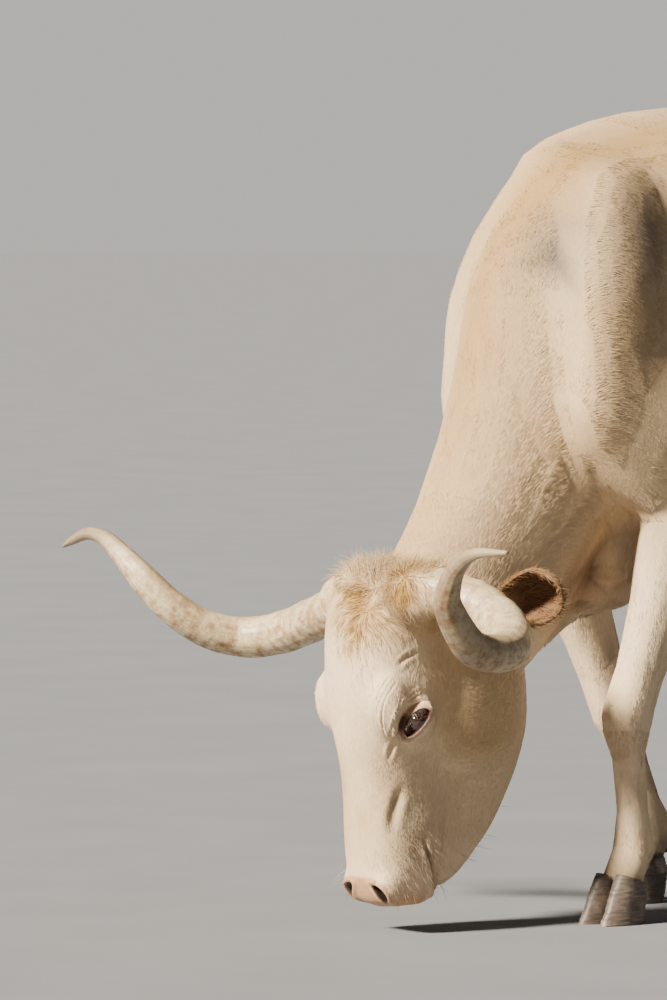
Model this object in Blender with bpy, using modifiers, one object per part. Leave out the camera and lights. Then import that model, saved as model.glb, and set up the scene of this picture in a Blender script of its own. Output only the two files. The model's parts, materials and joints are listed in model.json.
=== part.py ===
"""Life-size Texas longhorn cow, grazing with her head down, as a still museum model.

The animal faces -Y, her left side is +X, and up is +Z, in metres. The flesh is modelled as
clay: lofts and muscles, fused and smoothed, then parted into named nodes with thin cuts.
Eyes, horns and claws are solids of their own.
"""

import math

import bmesh
import bpy
import numpy as np
from mathutils import Matrix, Vector
from mathutils.bvhtree import BVHTree

# Driving dimensions
EYE_HEIGHT = 0.360
HEAD_YAW = 10.0          # degrees that the head turns to the cow's right
HEAD_TUCK = 8.0          # degrees that the nose is drawn back from plumb
KNEE_HEIGHT = 0.325
HOCK_HEIGHT = 0.490
FETLOCK_HEIGHT = 0.118
CORONET_HEIGHT = 0.060
EYEBALL_RADIUS = 0.0205
GAP = 0.0003             # left between nodes that touch

# Facets
BODY_VOXEL = 0.011
HEAD_VOXEL = 0.0042
RING = 40                # points round a flesh loft
STEPS = 6                # rings between two stations of a loft

SEED = 7

UP = Vector((0, 0, 1))
FRONT = Vector((0, -1, 0))
LEFT = Vector((1, 0, 0))


# Small geometry helpers

def unit(v):
    return Vector(v).normalized()


def spline(values, steps):
    """Catmull-Rom through rows of numbers, with this many steps between two rows."""
    p = np.array(values, float)
    p = np.vstack([2 * p[0] - p[1], p, 2 * p[-1] - p[-2]])
    rows = []
    for i in range(1, len(p) - 2):
        for t in np.arange(steps) / steps:
            a = 2 * p[i]
            b = (p[i + 1] - p[i - 1]) * t
            c = (2 * p[i - 1] - 5 * p[i] + 4 * p[i + 1] - p[i + 2]) * t ** 2
            d = (3 * p[i] - p[i - 1] - 3 * p[i + 1] + p[i + 2]) * t ** 3
            rows.append((a + b + c + d) / 2)
    rows.append(p[-2])
    return np.array(rows)


def mesh_object(name, points, faces, collection):
    mesh = bpy.data.meshes.new(name)
    mesh.from_pydata([tuple(p) for p in points], [], [tuple(f) for f in faces])
    mesh.update()
    obj = bpy.data.objects.new(name, mesh)
    collection.objects.link(obj)
    return obj


def tube_faces(rings, around):
    """Quads between rings, and a fan over each end whose tip is an extra point."""
    faces = []
    for r in range(rings - 1):
        for k in range(around):
            n = (k + 1) % around
            faces.append((r * around + k, r * around + n, (r + 1) * around + n, (r + 1) * around + k))
    first, last = rings * around, rings * around + 1
    for k in range(around):
        n = (k + 1) % around
        faces.append((first, n, k))
        faces.append((last, (rings - 1) * around + k, (rings - 1) * around + n))
    return faces


def loft(name, stations, collection, around=RING, steps=STEPS):
    """A closed loft. A station holds centre (3), side axis (3), dorsal axis (3), half width,
    reach up, reach down, roundness (2 is an ellipse) and taper (wider at the top if above 0)."""
    rows = spline(stations, steps)
    angle = np.arange(around) * 2 * math.pi / around
    c, s = np.cos(angle), np.sin(angle)
    points = []
    for row in rows:
        centre, side, dorsal = row[0:3], row[3:6], row[6:9]
        side = side / np.linalg.norm(side)
        dorsal = dorsal / np.linalg.norm(dorsal)
        width, up, down, power, taper = row[9:14]
        across = np.sign(c) * np.abs(c) ** (2 / power)
        along = np.sign(s) * np.abs(s) ** (2 / power)
        reach = np.where(along > 0, up, down)
        x = across * width * (1 + taper * along)
        points.append(centre + np.outer(x, side) + np.outer(along * reach, dorsal))
    points = np.vstack(points)
    ends = np.array([rows[0][0:3], rows[-1][0:3]])
    obj = mesh_object(name, np.vstack([points, ends]), tube_faces(len(rows), around), collection)
    face_outwards(obj)
    return obj


def face_outwards(obj):
    bm = bmesh.new()
    bm.from_mesh(obj.data)
    bmesh.ops.recalc_face_normals(bm, faces=bm.faces)
    bm.to_mesh(obj.data)
    bm.free()


def limb_stations(rows, side=LEFT):
    """Stations of a limb from rows of centre (3), half width, reach forward and reach back.
    Each section stands square to the limb's own line."""
    points = [Vector(row[:3]) for row in rows]
    stations = []
    for i, row in enumerate(rows):
        ahead = points[min(i + 1, len(rows) - 1)]
        along = unit(ahead - points[max(i - 1, 0)])
        front = unit(along.cross(side))
        if front.y > 0:
            front = -front
        across = unit(front.cross(along))
        stations.append([*points[i], *across, *front, row[3], row[4], row[5], 2.1, 0.0])
    return stations


def muscle(name, centre, radii, collection, along=(0, 0, 1), lean=(1, 0, 0)):
    """An ellipsoid whose third radius lies along one direction and first radius near another."""
    z = unit(along)
    y = unit(z.cross(Vector(lean)))
    x = y.cross(z)
    bm = bmesh.new()
    bmesh.ops.create_uvsphere(bm, u_segments=28, v_segments=16, radius=1.0)
    turn = Matrix((x, y, z)).transposed().to_4x4()
    bm.transform(Matrix.Translation(Vector(centre)) @ turn @ Matrix.Diagonal((*radii, 1.0)))
    mesh = bpy.data.meshes.new(name)
    bm.to_mesh(mesh)
    bm.free()
    obj = bpy.data.objects.new(name, mesh)
    collection.objects.link(obj)
    return obj


# The head's own frame: across to her left, face outwards from the forehead, nose towards the muzzle

def turned(v, degrees):
    return Matrix.Rotation(math.radians(degrees), 3, "Z") @ Vector(v)


HEAD_SIDE = turned(LEFT, -HEAD_YAW)
HEAD_AHEAD = turned(FRONT, -HEAD_YAW)
TUCK = math.radians(HEAD_TUCK)
NOSE = -math.sin(TUCK) * HEAD_AHEAD - math.cos(TUCK) * UP
FACE = math.cos(TUCK) * HEAD_AHEAD - math.sin(TUCK) * UP
FOREHEAD_AT_EYES = Vector((-0.0335, -0.4615, EYE_HEIGHT))
EYE_FROM_POLL = 0.25
POLL = FOREHEAD_AT_EYES - EYE_FROM_POLL * NOSE


def on_head(across, out, along):
    """A point from its place in the head: across to the left, out from the face, along the nose."""
    return POLL + across * HEAD_SIDE + out * FACE + along * NOSE


def in_head(points):
    """World points as rows of across, out and along."""
    return (points - np.array(POLL)) @ np.array([HEAD_SIDE, FACE, NOSE]).T


# Body shapes

# along the back: y, top, bottom, half width, roundness, taper, roll in degrees (right side up)
TORSO = (
    (-0.13, 1.050, 0.790, 0.095, 2.0, 0.00, 0),
    (-0.07, 1.165, 0.670, 0.155, 2.0, -0.15, 3),
    (0.00, 1.222, 0.585, 0.192, 2.0, -0.28, 6),
    (0.10, 1.240, 0.545, 0.215, 2.1, -0.28, 8),
    (0.22, 1.272, 0.535, 0.236, 2.2, -0.22, 10),
    (0.40, 1.296, 0.530, 0.272, 2.2, -0.18, 11),
    (0.60, 1.296, 0.520, 0.300, 2.2, -0.16, 7),
    (0.78, 1.300, 0.535, 0.292, 2.2, -0.12, 3),
    (0.92, 1.320, 0.600, 0.258, 2.3, -0.05, 0),
    (1.04, 1.318, 0.740, 0.215, 2.3, 0.00, 0),
    (1.15, 1.285, 0.880, 0.160, 2.2, 0.00, 0),
    (1.22, 1.215, 1.010, 0.095, 2.0, 0.00, 0),
)

# down the neck: crest y and z, underside y and z, half width, shift to her left, taper
NECK = (
    (0.000, 1.205, 0.260, 0.800, 0.135, 0.000, -0.28),
    (-0.095, 1.145, 0.210, 0.740, 0.160, 0.000, -0.28),
    (-0.165, 1.055, 0.165, 0.700, 0.160, -0.002, -0.25),
    (-0.190, 0.945, 0.120, 0.665, 0.148, -0.004, -0.22),
    (-0.216, 0.840, 0.075, 0.620, 0.132, -0.008, -0.16),
    (-0.248, 0.745, 0.030, 0.545, 0.118, -0.014, -0.08),
    (-0.286, 0.655, -0.025, 0.465, 0.104, -0.022, -0.02),
    (-0.330, 0.580, -0.085, 0.400, 0.092, -0.032, 0.00),
    (-0.380, 0.520, -0.150, 0.360, 0.082, -0.040, 0.00),
)

# the dewlap from throat to brisket, in the same way
DEWLAP = (
    (-0.100, 0.470, -0.055, 0.415, 0.016, -0.025, 0.0),
    (-0.050, 0.520, -0.005, 0.440, 0.018, -0.018, 0.0),
    (0.000, 0.580, 0.045, 0.478, 0.021, -0.010, 0.0),
    (0.060, 0.640, 0.085, 0.505, 0.026, -0.004, 0.0),
    (0.140, 0.680, 0.135, 0.515, 0.034, 0.000, 0.0),
    (0.220, 0.680, 0.215, 0.525, 0.034, 0.000, 0.0),
)

# joints of each leg: top, elbow or stifle, knee or hock, fetlock, coronet
LEGS = {
    "fore_left": ((0.150, 0.080, 0.86), (0.165, 0.135, 0.69), (0.130, 0.012, KNEE_HEIGHT),
                  (0.126, 0.034, FETLOCK_HEIGHT), (0.126, 0.004, CORONET_HEIGHT)),
    "fore_right": ((-0.150, 0.050, 0.86), (-0.158, 0.095, 0.70), (-0.120, 0.243, KNEE_HEIGHT - 0.008),
                   (-0.114, 0.322, FETLOCK_HEIGHT), (-0.114, 0.298, CORONET_HEIGHT)),
    "hind_left": ((0.140, 1.000, 1.05), (0.170, 0.870, 0.78), (0.125, 1.165, HOCK_HEIGHT),
                  (0.122, 1.135, FETLOCK_HEIGHT), (0.122, 1.098, CORONET_HEIGHT)),
    "hind_right": ((-0.140, 0.980, 1.05), (-0.170, 0.800, 0.77), (-0.125, 1.020, HOCK_HEIGHT - 0.01),
                   (-0.122, 0.960, FETLOCK_HEIGHT), (-0.122, 0.922, CORONET_HEIGHT)),
}

# down a foreleg: joint reached, share of the way to it, half width, reach forward, reach back
FORELEG = (
    (0, 1.00, 0.070, 0.110, 0.120), (1, 0.55, 0.068, 0.098, 0.112), (1, 1.00, 0.063, 0.092, 0.104),
    (2, 0.25, 0.057, 0.078, 0.090), (2, 0.50, 0.047, 0.058, 0.064), (2, 0.78, 0.040, 0.045, 0.045),
    (2, 0.96, 0.044, 0.045, 0.043), (3, 0.08, 0.043, 0.042, 0.043), (3, 0.24, 0.031, 0.030, 0.036),
    (3, 0.50, 0.027, 0.026, 0.033), (3, 0.76, 0.029, 0.028, 0.034), (3, 1.00, 0.037, 0.034, 0.042),
    (4, 0.50, 0.034, 0.030, 0.034), (4, 0.90, 0.041, 0.034, 0.038), (4, 1.00, 0.042, 0.035, 0.039),
)

# down a hind leg, in the same way
HIND_LEG = (
    (0, 1.00, 0.085, 0.150, 0.170), (1, 0.50, 0.088, 0.140, 0.225), (1, 1.00, 0.080, 0.105, 0.200),
    (2, 0.30, 0.064, 0.074, 0.115), (2, 0.60, 0.046, 0.049, 0.064), (2, 0.84, 0.036, 0.042, 0.048),
    (2, 1.00, 0.038, 0.046, 0.044), (3, 0.14, 0.034, 0.040, 0.036), (3, 0.30, 0.029, 0.031, 0.034),
    (3, 0.55, 0.027, 0.028, 0.034), (3, 0.80, 0.030, 0.030, 0.036), (3, 1.00, 0.037, 0.035, 0.043),
    (4, 0.50, 0.034, 0.030, 0.035), (4, 0.90, 0.040, 0.034, 0.039), (4, 1.00, 0.041, 0.035, 0.040),
)

# along the skull: along, front, back, half width, roundness, taper (wider at the face)
SKULL = (
    (0.036, -0.085, -0.120, 0.045, 2.0, 0.00),
    (0.054, -0.058, -0.165, 0.080, 2.1, 0.00),
    (0.085, -0.036, -0.215, 0.103, 2.2, 0.05),
    (0.132, -0.018, -0.250, 0.105, 2.4, 0.10),
    (0.190, -0.006, -0.270, 0.099, 2.5, 0.12),
    (0.245, 0.000, -0.270, 0.100, 2.5, 0.12),
    (0.300, 0.001, -0.250, 0.085, 2.4, 0.06),
    (0.350, 0.000, -0.215, 0.071, 2.4, 0.02),
    (0.400, 0.000, -0.180, 0.066, 2.6, 0.00),
    (0.450, 0.002, -0.158, 0.069, 2.8, -0.02),
    (0.495, 0.003, -0.144, 0.071, 2.8, -0.02),
    (0.535, 0.002, -0.130, 0.069, 2.6, 0.00),
    (0.565, -0.010, -0.112, 0.060, 2.3, 0.00),
    (0.580, -0.030, -0.092, 0.040, 2.0, 0.00),
)

# along the lower jaw, in the same way
JAW = (
    (0.150, -0.150, -0.300, 0.066, 2.2, 0.05),
    (0.200, -0.150, -0.331, 0.086, 2.4, 0.02),
    (0.260, -0.150, -0.334, 0.092, 2.5, 0.02),
    (0.330, -0.150, -0.327, 0.087, 2.5, 0.02),
    (0.390, -0.140, -0.307, 0.076, 2.4, 0.02),
    (0.440, -0.120, -0.281, 0.063, 2.3, 0.00),
    (0.485, -0.105, -0.250, 0.052, 2.3, 0.00),
    (0.520, -0.098, -0.212, 0.046, 2.3, 0.00),
    (0.548, -0.098, -0.178, 0.039, 2.2, 0.00),
    (0.564, -0.108, -0.150, 0.024, 2.0, 0.00),
)


def torso_clay(clay):
    stations = []
    for y, top, bottom, width, power, taper, roll in TORSO:
        middle = (top + bottom) / 2
        side = Matrix.Rotation(math.radians(roll), 3, "Y") @ LEFT
        dorsal = Matrix.Rotation(math.radians(roll), 3, "Y") @ UP
        half = (top - bottom) / 2
        across = -math.sin(math.radians(roll)) * half
        stations.append([across, y, middle, *side, *dorsal, width, half, half, power, taper])
    loft("torso_clay", stations, clay)


def neck_clay(name, table, clay):
    stations = []
    for crest_y, crest_z, under_y, under_z, width, shift, taper in table:
        crest, under = Vector((0, crest_y, crest_z)), Vector((0, under_y, under_z))
        dorsal = unit(crest - under)
        half = (crest - under).length / 2
        middle = (crest + under) / 2 + shift * LEFT
        yaw = -HEAD_YAW * min(1.0, abs(shift) / 0.04)
        stations.append([*middle, *turned(LEFT, yaw), *turned(dorsal, yaw), width, half, half, 2.1, taper])
    loft(name, stations, clay)


def leg_clay(name, joints, profile, clay):
    rows = []
    for joint, share, width, front, back in profile:
        start = Vector(joints[max(joint - 1, 0)])
        centre = start.lerp(Vector(joints[joint]), share)
        rows.append((*centre, width, front, back))
    loft(name + "_clay", limb_stations(rows), clay, steps=4)


def head_loft(name, table, clay):
    stations = []
    for along, front, back, width, power, taper in table:
        half = (front - back) / 2
        centre = on_head(0, (front + back) / 2, along)
        stations.append([*centre, *HEAD_SIDE, *FACE, width, half, half, power, taper])
    loft(name, stations, clay)


def body_muscles(clay):
    for side in (1, -1):
        raise_z = 0.012 if side < 0 else -0.010
        muscle("shoulder_blade", (side * 0.112, 0.010, 1.030 + raise_z), (0.062, 0.115, 0.225), clay,
               along=(-side * 0.30, 0.36, 1), lean=(1, 0, 0))
        muscle("shoulder_point", (side * 0.150, -0.045, 0.835), (0.050, 0.080, 0.110), clay)
        muscle("upper_arm", (side * 0.152, 0.075, 0.790), (0.070, 0.140, 0.150), clay,
               along=(0, 0.5, 1))
        muscle("hook_bone", (side * 0.190, 0.885, 1.222), (0.062, 0.110, 0.058), clay)
        muscle("rump", (side * 0.118, 1.010, 1.165), (0.110, 0.190, 0.125), clay, along=(0, 0.3, 1))
        muscle("pin_bone", (side * 0.095, 1.180, 1.165), (0.040, 0.050, 0.055), clay)
        muscle("flank_fold", (side * 0.175, 0.800, 0.720), (0.060, 0.110, 0.150), clay)
    muscle("far_back", (-0.115, 0.240, 1.240), (0.075, 0.250, 0.056), clay, along=(0, -0.18, 1))
    muscle("brisket", (0, 0.045, 0.570), (0.088, 0.130, 0.085), clay, along=(0, 0.2, 1))


def head_muscles(clay):
    for side in (1, -1):
        muscle("brow", on_head(side * 0.075, -0.048, 0.252), (0.035, 0.040, 0.056), clay, along=NOSE,
               lean=HEAD_SIDE)
        muscle("orbit", on_head(side * 0.086, -0.084, 0.284), (0.027, 0.036, 0.040), clay, along=NOSE,
               lean=HEAD_SIDE)
        muscle("cheek", on_head(side * 0.056, -0.200, 0.275), (0.044, 0.100, 0.115), clay, along=NOSE,
               lean=HEAD_SIDE)
        muscle("ear_root", on_head(side * 0.086, -0.205, 0.120), (0.042, 0.040, 0.040), clay)
        muscle("nostril_wing", on_head(side * 0.043, -0.028, 0.540), (0.026, 0.030, 0.034), clay,
               along=NOSE, lean=HEAD_SIDE)
        muscle("upper_lip", on_head(side * 0.038, -0.075, 0.548), (0.028, 0.044, 0.034), clay,
               along=NOSE, lean=HEAD_SIDE)
    for place, reach in (((0.122, -0.088, 0.082), 0.070), ((-0.094, -0.098, 0.104), 0.050)):
        muscle("horn_root", on_head(*place), (0.047, 0.045, reach), clay, along=HEAD_SIDE, lean=NOSE)
    muscle("poll_knob", on_head(0, -0.088, 0.066), (0.080, 0.055, 0.032), clay, along=NOSE,
           lean=HEAD_SIDE)


# Clay into skin

def applied(obj):
    """The object with its modifiers made part of its mesh."""
    bpy.context.view_layer.update()
    graph = bpy.context.evaluated_depsgraph_get()
    mesh = bpy.data.meshes.new_from_object(obj.evaluated_get(graph))
    obj.modifiers.clear()
    obj.data = mesh
    obj.data.name = obj.name
    return obj


def joined(name, collection):
    """One mesh from all the pieces of a collection, which are then removed."""
    bm = bmesh.new()
    for obj in list(collection.objects):
        bm.from_mesh(obj.data)
        bpy.data.objects.remove(obj)
    mesh = bpy.data.meshes.new(name)
    bm.to_mesh(mesh)
    bm.free()
    obj = bpy.data.objects.new(name, mesh)
    bpy.context.scene.collection.objects.link(obj)
    return obj


def fused(name, clay, voxel, rounds):
    """The pieces of clay as one smooth surface."""
    obj = joined(name, clay)
    remesh = obj.modifiers.new("Remesh", "REMESH")
    remesh.mode = "VOXEL"
    remesh.voxel_size = voxel
    smooth = obj.modifiers.new("Smooth", "SMOOTH")
    smooth.factor = 0.5
    smooth.iterations = rounds
    return applied(obj)


def softened(obj, weights, rounds):
    """Further smoothing, by a weight from 0 to 1 at each point."""
    group = obj.vertex_groups.new(name="soft")
    for index in np.flatnonzero(weights > 0.01):
        group.add([int(index)], float(weights[index]), "REPLACE")
    smooth = obj.modifiers.new("Smooth", "SMOOTH")
    smooth.factor = 0.5
    smooth.iterations = rounds
    smooth.vertex_group = "soft"
    applied(obj)
    obj.vertex_groups.clear()


def points_of(obj):
    flat = np.empty(len(obj.data.vertices) * 3)
    obj.data.vertices.foreach_get("co", flat)
    return flat.reshape(-1, 3)


def thinned(obj, triangles):
    obj.data.calc_loop_triangles()
    decimate = obj.modifiers.new("Decimate", "DECIMATE")
    decimate.ratio = triangles / len(obj.data.loop_triangles)
    decimate.use_collapse_triangulate = True
    applied(obj)
    largest(obj)


def boolean(obj, other, operation="DIFFERENCE"):
    """A Boolean made part of the mesh. The other object is used up."""
    modifier = obj.modifiers.new("Cut", "BOOLEAN")
    modifier.operation = operation
    modifier.solver = "MANIFOLD"
    modifier.object = other
    applied(obj)
    bpy.data.objects.remove(other)


def pieces(obj):
    """The object's loose surfaces as lists of faces, largest first."""
    bm = bmesh.new()
    bm.from_mesh(obj.data)
    bm.faces.ensure_lookup_table()
    left = set(bm.faces)
    found = []
    while left:
        seed = left.pop()
        front, piece = [seed], [seed.index]
        while front:
            face = front.pop()
            for edge in face.edges:
                for other in edge.link_faces:
                    if other in left:
                        left.remove(other)
                        front.append(other)
                        piece.append(other.index)
        found.append(piece)
    bm.free()
    return sorted(found, key=len, reverse=True)


def keep_faces(obj, kept):
    kept = set(kept)
    bm = bmesh.new()
    bm.from_mesh(obj.data)
    bmesh.ops.delete(bm, geom=[f for f in bm.faces if f.index not in kept], context="FACES")
    bm.to_mesh(obj.data)
    bm.free()


def largest(obj):
    keep_faces(obj, pieces(obj)[0])


def box(centre, axes, halves):
    """A box from its centre, its three axes and its half sizes."""
    bm = bmesh.new()
    bmesh.ops.create_cube(bm, size=2.0)
    turn = Matrix([unit(a) for a in axes]).transposed().to_4x4()
    bm.transform(Matrix.Translation(Vector(centre)) @ turn @ Matrix.Diagonal((*halves, 1.0)))
    obj = made("box", bm)
    face_outwards(obj)
    return obj


def room_beyond(point, normal, reach, across, shift=0.0):
    """A box that fills the space beyond a plane through the point, up to reach away."""
    n = unit(normal)
    side = unit(n.cross(UP)) if abs(n.z) < 0.99 else LEFT
    other = n.cross(side)
    centre = Vector(point) + n * (reach / 2 + shift)
    return box(centre, (side, other, n), (across, across, reach / 2))


def grown(obj, by):
    """A copy whose surface stands this far outside."""
    mesh = obj.data.copy()
    normals = [v.normal.copy() for v in mesh.vertices]
    for vertex, normal in zip(mesh.vertices, normals):
        vertex.co += normal * by
    copy = bpy.data.objects.new("grown", mesh)
    bpy.context.scene.collection.objects.link(copy)
    return copy


def seat(host, part, gap=GAP):
    """The part's place let into the host, with a gap all round."""
    boolean(host, grown(part, gap))
    largest(host)


def slit(obj, centre, normal, across, deep):
    """A thin cut through the object, square to the normal."""
    n = unit(normal)
    side = unit(LEFT - n * n.x)
    boolean(obj, box(centre, (side, n.cross(side), n), (across, deep, GAP / 2)))


def part_of(obj, name, place):
    """The loose surface of the object whose middle lies nearest a place, as an object of its own."""
    points = np.array([v.co for v in obj.data.vertices])
    best, chosen = None, None
    for piece in pieces(obj):
        used = sorted({i for f in piece for i in obj.data.polygons[f].vertices})
        distance = np.linalg.norm(points[used].mean(axis=0) - np.array(place))
        if len(piece) > 20 and (best is None or distance < best):
            best, chosen = distance, piece
    copy = bpy.data.objects.new(name, obj.data.copy())
    copy.data.name = name
    bpy.context.scene.collection.objects.link(copy)
    keep_faces(copy, chosen)
    return copy


# Head details

EYE = (0.0948, -0.0820, 0.284)       # eyeball centre: across, out, along
EYE_FACING = (0.93, 0.36, 0.02)
EYE_SLOT = (-0.24, 0.62, 0.75)       # from the outer corner towards the inner one
HORN_LINES = {
    "left": (
        (0.110, -0.052, 0.536, 0.0340), (0.165, -0.071, 0.545, 0.0370), (0.229, -0.105, 0.524, 0.0386),
        (0.267, -0.115, 0.504, 0.0386), (0.319, -0.103, 0.485, 0.0369), (0.376, -0.067, 0.469, 0.0336),
        (0.426, -0.007, 0.463, 0.0296), (0.446, 0.055, 0.477, 0.0275), (0.472, 0.113, 0.538, 0.0223),
        (0.498, 0.128, 0.574, 0.0180), (0.532, 0.135, 0.604, 0.0135), (0.583, 0.139, 0.624, 0.0088),
        (0.668, 0.141, 0.629, 0.0030),
    ),
    "right": (
        (0.080, -0.057, 0.520, 0.0330), (0.120, -0.089, 0.510, 0.0348), (0.209, -0.107, 0.489, 0.0350),
        (0.328, -0.112, 0.458, 0.0345), (0.392, -0.077, 0.447, 0.0330), (0.418, -0.017, 0.462, 0.0302),
        (0.436, 0.038, 0.499, 0.0270), (0.463, 0.073, 0.543, 0.0235), (0.502, 0.088, 0.579, 0.0178),
        (0.549, 0.093, 0.605, 0.0130), (0.593, 0.096, 0.611, 0.0102), (0.638, 0.099, 0.598, 0.0070),
        (0.663, 0.101, 0.588, 0.0028),
    ),
}
# each ear's root, tip and the way its cup faces: across, ahead, up
EARS = {
    "left": ((0.132, -0.190, 0.502), (0.322, -0.206, 0.553), (0.10, 0.90, -0.40)),
    "right": ((-0.122, -0.172, 0.506), (-0.292, -0.240, 0.500), (-0.62, 0.50, -0.58)),
}
# along the ear: share, half width, half angle of the section in degrees, thickness, root to tip
EAR = (
    (0.00, 0.024, 150, 0.016), (0.10, 0.027, 145, 0.013), (0.22, 0.034, 134, 0.010),
    (0.38, 0.041, 116, 0.008), (0.55, 0.045, 98, 0.007), (0.72, 0.041, 84, 0.006),
    (0.86, 0.031, 72, 0.006), (0.95, 0.018, 62, 0.005), (1.00, 0.006, 55, 0.004),
)


def beside_head(across, ahead, height):
    """A point from its place in the level frame that turns with the head."""
    level = across * HEAD_SIDE + ahead * HEAD_AHEAD + (height - EYE_HEIGHT) * UP
    return FOREHEAD_AT_EYES + level


def head_vector(v, side=1):
    return unit(side * v[0] * HEAD_SIDE + v[1] * FACE + v[2] * NOSE)


def bump(distance, width):
    return np.exp(-(distance / width) ** 2)


def sculpt_head(obj):
    """Lids, brow folds, cheek lines, nostril rims and the line of the mouth, in the surface."""
    count = len(obj.data.vertices)
    points = points_of(obj)
    flat = np.empty(count * 3)
    obj.data.vertices.foreach_get("normal", flat)
    normals = flat.reshape(-1, 3)
    across, out, along = in_head(points).T
    beside = np.abs(across)
    move = np.zeros(count)
    frame = np.array([EYE_FACING, EYE_SLOT, np.cross(EYE_FACING, EYE_SLOT)])
    frame /= np.linalg.norm(frame, axis=1, keepdims=True)
    local = np.column_stack([beside, out, along]) - np.array(EYE)
    depth, length, width = (local @ frame.T).T
    near_eye = (depth > 0) * bump(np.hypot(length, width), 0.060)
    ring = np.hypot(length / 0.034, width / 0.020)
    move += 0.0035 * near_eye * bump(ring - 1.0, 0.30)
    move -= 0.0030 * near_eye * bump(ring - 1.65, 0.22)
    line = -0.094 - 0.25 * (along - 0.512)
    lips = np.clip((along - 0.500) / 0.012, 0, 1) * (beside < 0.075)
    move -= 0.0050 * lips * bump(out - line, 0.0045)
    move += 0.0022 * lips * bump(np.abs(out - line) - 0.011, 0.006)
    furrow = bump(np.abs(beside - 0.062), 0.010) * bump(along - 0.415, 0.035) * (out > -0.08)
    move -= 0.004 * furrow
    rim = np.hypot((beside - 0.047) / 0.017, (along - 0.545) / 0.023)
    move += 0.0030 * bump(rim - 1.0, 0.35) * (out > -0.06)
    points = points + normals * move[:, None]
    obj.data.vertices.foreach_set("co", points.ravel())
    obj.data.update()


def eyeball(name, side):
    centre = on_head(side * EYE[0], EYE[1], EYE[2])
    bm = bmesh.new()
    bmesh.ops.create_uvsphere(bm, u_segments=16, v_segments=8, radius=EYEBALL_RADIUS)
    turn = head_vector(EYE_FACING, side).to_track_quat("Z", "Y").to_matrix().to_4x4()
    bm.transform(Matrix.Translation(centre) @ turn)
    return made(name, bm)


def made(name, bm):
    mesh = bpy.data.meshes.new(name)
    bm.to_mesh(mesh)
    bm.free()
    obj = bpy.data.objects.new(name, mesh)
    bpy.context.scene.collection.objects.link(obj)
    return obj


def ellipsoid_tool(centre, axes, radii):
    bm = bmesh.new()
    bmesh.ops.create_uvsphere(bm, u_segments=16, v_segments=10, radius=1.0)
    turn = Matrix([unit(a) for a in axes]).transposed().to_4x4()
    bm.transform(Matrix.Translation(Vector(centre)) @ turn @ Matrix.Diagonal((*radii, 1.0)))
    obj = made("tool", bm)
    face_outwards(obj)
    return obj


def open_head(head):
    """The slots between the lids, and the nostrils."""
    for side in (1, -1):
        facing = head_vector(EYE_FACING, side)
        slot = head_vector(EYE_SLOT, side)
        centre = on_head(side * EYE[0], EYE[1], EYE[2]) + facing * 0.019
        boolean(head, ellipsoid_tool(centre, (slot, facing.cross(slot), facing), (0.027, 0.0105, 0.016)))
        place = on_head(side * 0.048, 0.000, 0.548)
        inward = head_vector((-0.40, -0.86, -0.20), side)
        tilt = head_vector((0.45, -0.30, 0.85), side)
        boolean(head, ellipsoid_tool(place, (inward.cross(tilt), inward, tilt), (0.0095, 0.024, 0.0175)))
    largest(head)


def rounded_tube(name, path, around, steps, collection):
    """A closed loft with round sections, from rows of centre (3) and radius."""
    rows = spline(path, steps)
    points = [Vector(row[:3]) for row in rows]
    side = unit((points[1] - points[0]).cross(Vector((0.2, 0.3, 1))))
    vertices = []
    for i, row in enumerate(rows):
        ahead = unit(points[min(i + 1, len(rows) - 1)] - points[max(i - 1, 0)])
        side = unit(side - ahead * side.dot(ahead))
        other = ahead.cross(side)
        for k in range(around):
            a = k * 2 * math.pi / around
            vertices.append(points[i] + (math.cos(a) * side + math.sin(a) * other) * row[3])
    vertices += [points[0], points[-1]]
    obj = mesh_object(name, vertices, tube_faces(len(rows), around), collection)
    face_outwards(obj)
    return obj


def horn(name, word, side):
    path = [(*beside_head(side * across, ahead, height), radius)
            for across, ahead, height, radius in HORN_LINES[word]]
    return rounded_tube(name, path, 10, 2, bpy.context.scene.collection)


def shell_faces(rings, arc):
    """Quads round a bent sheet whose rings run along its back and return along its inside."""
    around = 2 * arc
    faces = []
    for r in range(rings - 1):
        for k in range(around):
            n = (k + 1) % around
            faces.append((r * around + k, r * around + n, (r + 1) * around + n, (r + 1) * around + k))
    for start in (0, (rings - 1) * around):
        for k in range(arc - 1):
            faces.append((start + k, start + k + 1, start + around - 2 - k, start + around - 1 - k))
    return faces


def ear(name, word):
    root, tip = (beside_head(*place) for place in EARS[word][:2])
    along = unit(tip - root)
    across, ahead, height = EARS[word][2]
    cup = across * HEAD_SIDE + ahead * HEAD_AHEAD + height * UP
    cup = unit(cup - along * cup.dot(along))
    wide = along.cross(cup)
    arc, rows = 8, spline(EAR, 2)
    vertices = []
    for share, half, angle, thick in rows:
        spread = math.radians(angle)
        bend = 0.018 * math.sin(math.pi * share) - 0.010 * share
        centre = root.lerp(tip, share) - cup * bend
        radius = half / max(math.sin(min(spread, math.pi / 2)), 0.5)
        lift = radius * math.cos(min(spread, math.pi / 2))
        outer = np.linspace(-spread, spread, arc)
        for a, r in [(a, radius) for a in outer] + [(a, max(radius - thick, 0.006)) for a in outer[::-1]]:
            vertices.append(centre + wide * math.sin(a) * r - cup * (math.cos(a) * r - lift))
    obj = mesh_object(name, vertices, shell_faces(len(rows), arc), bpy.context.scene.collection)
    face_outwards(obj)
    return obj


# Locks

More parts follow.
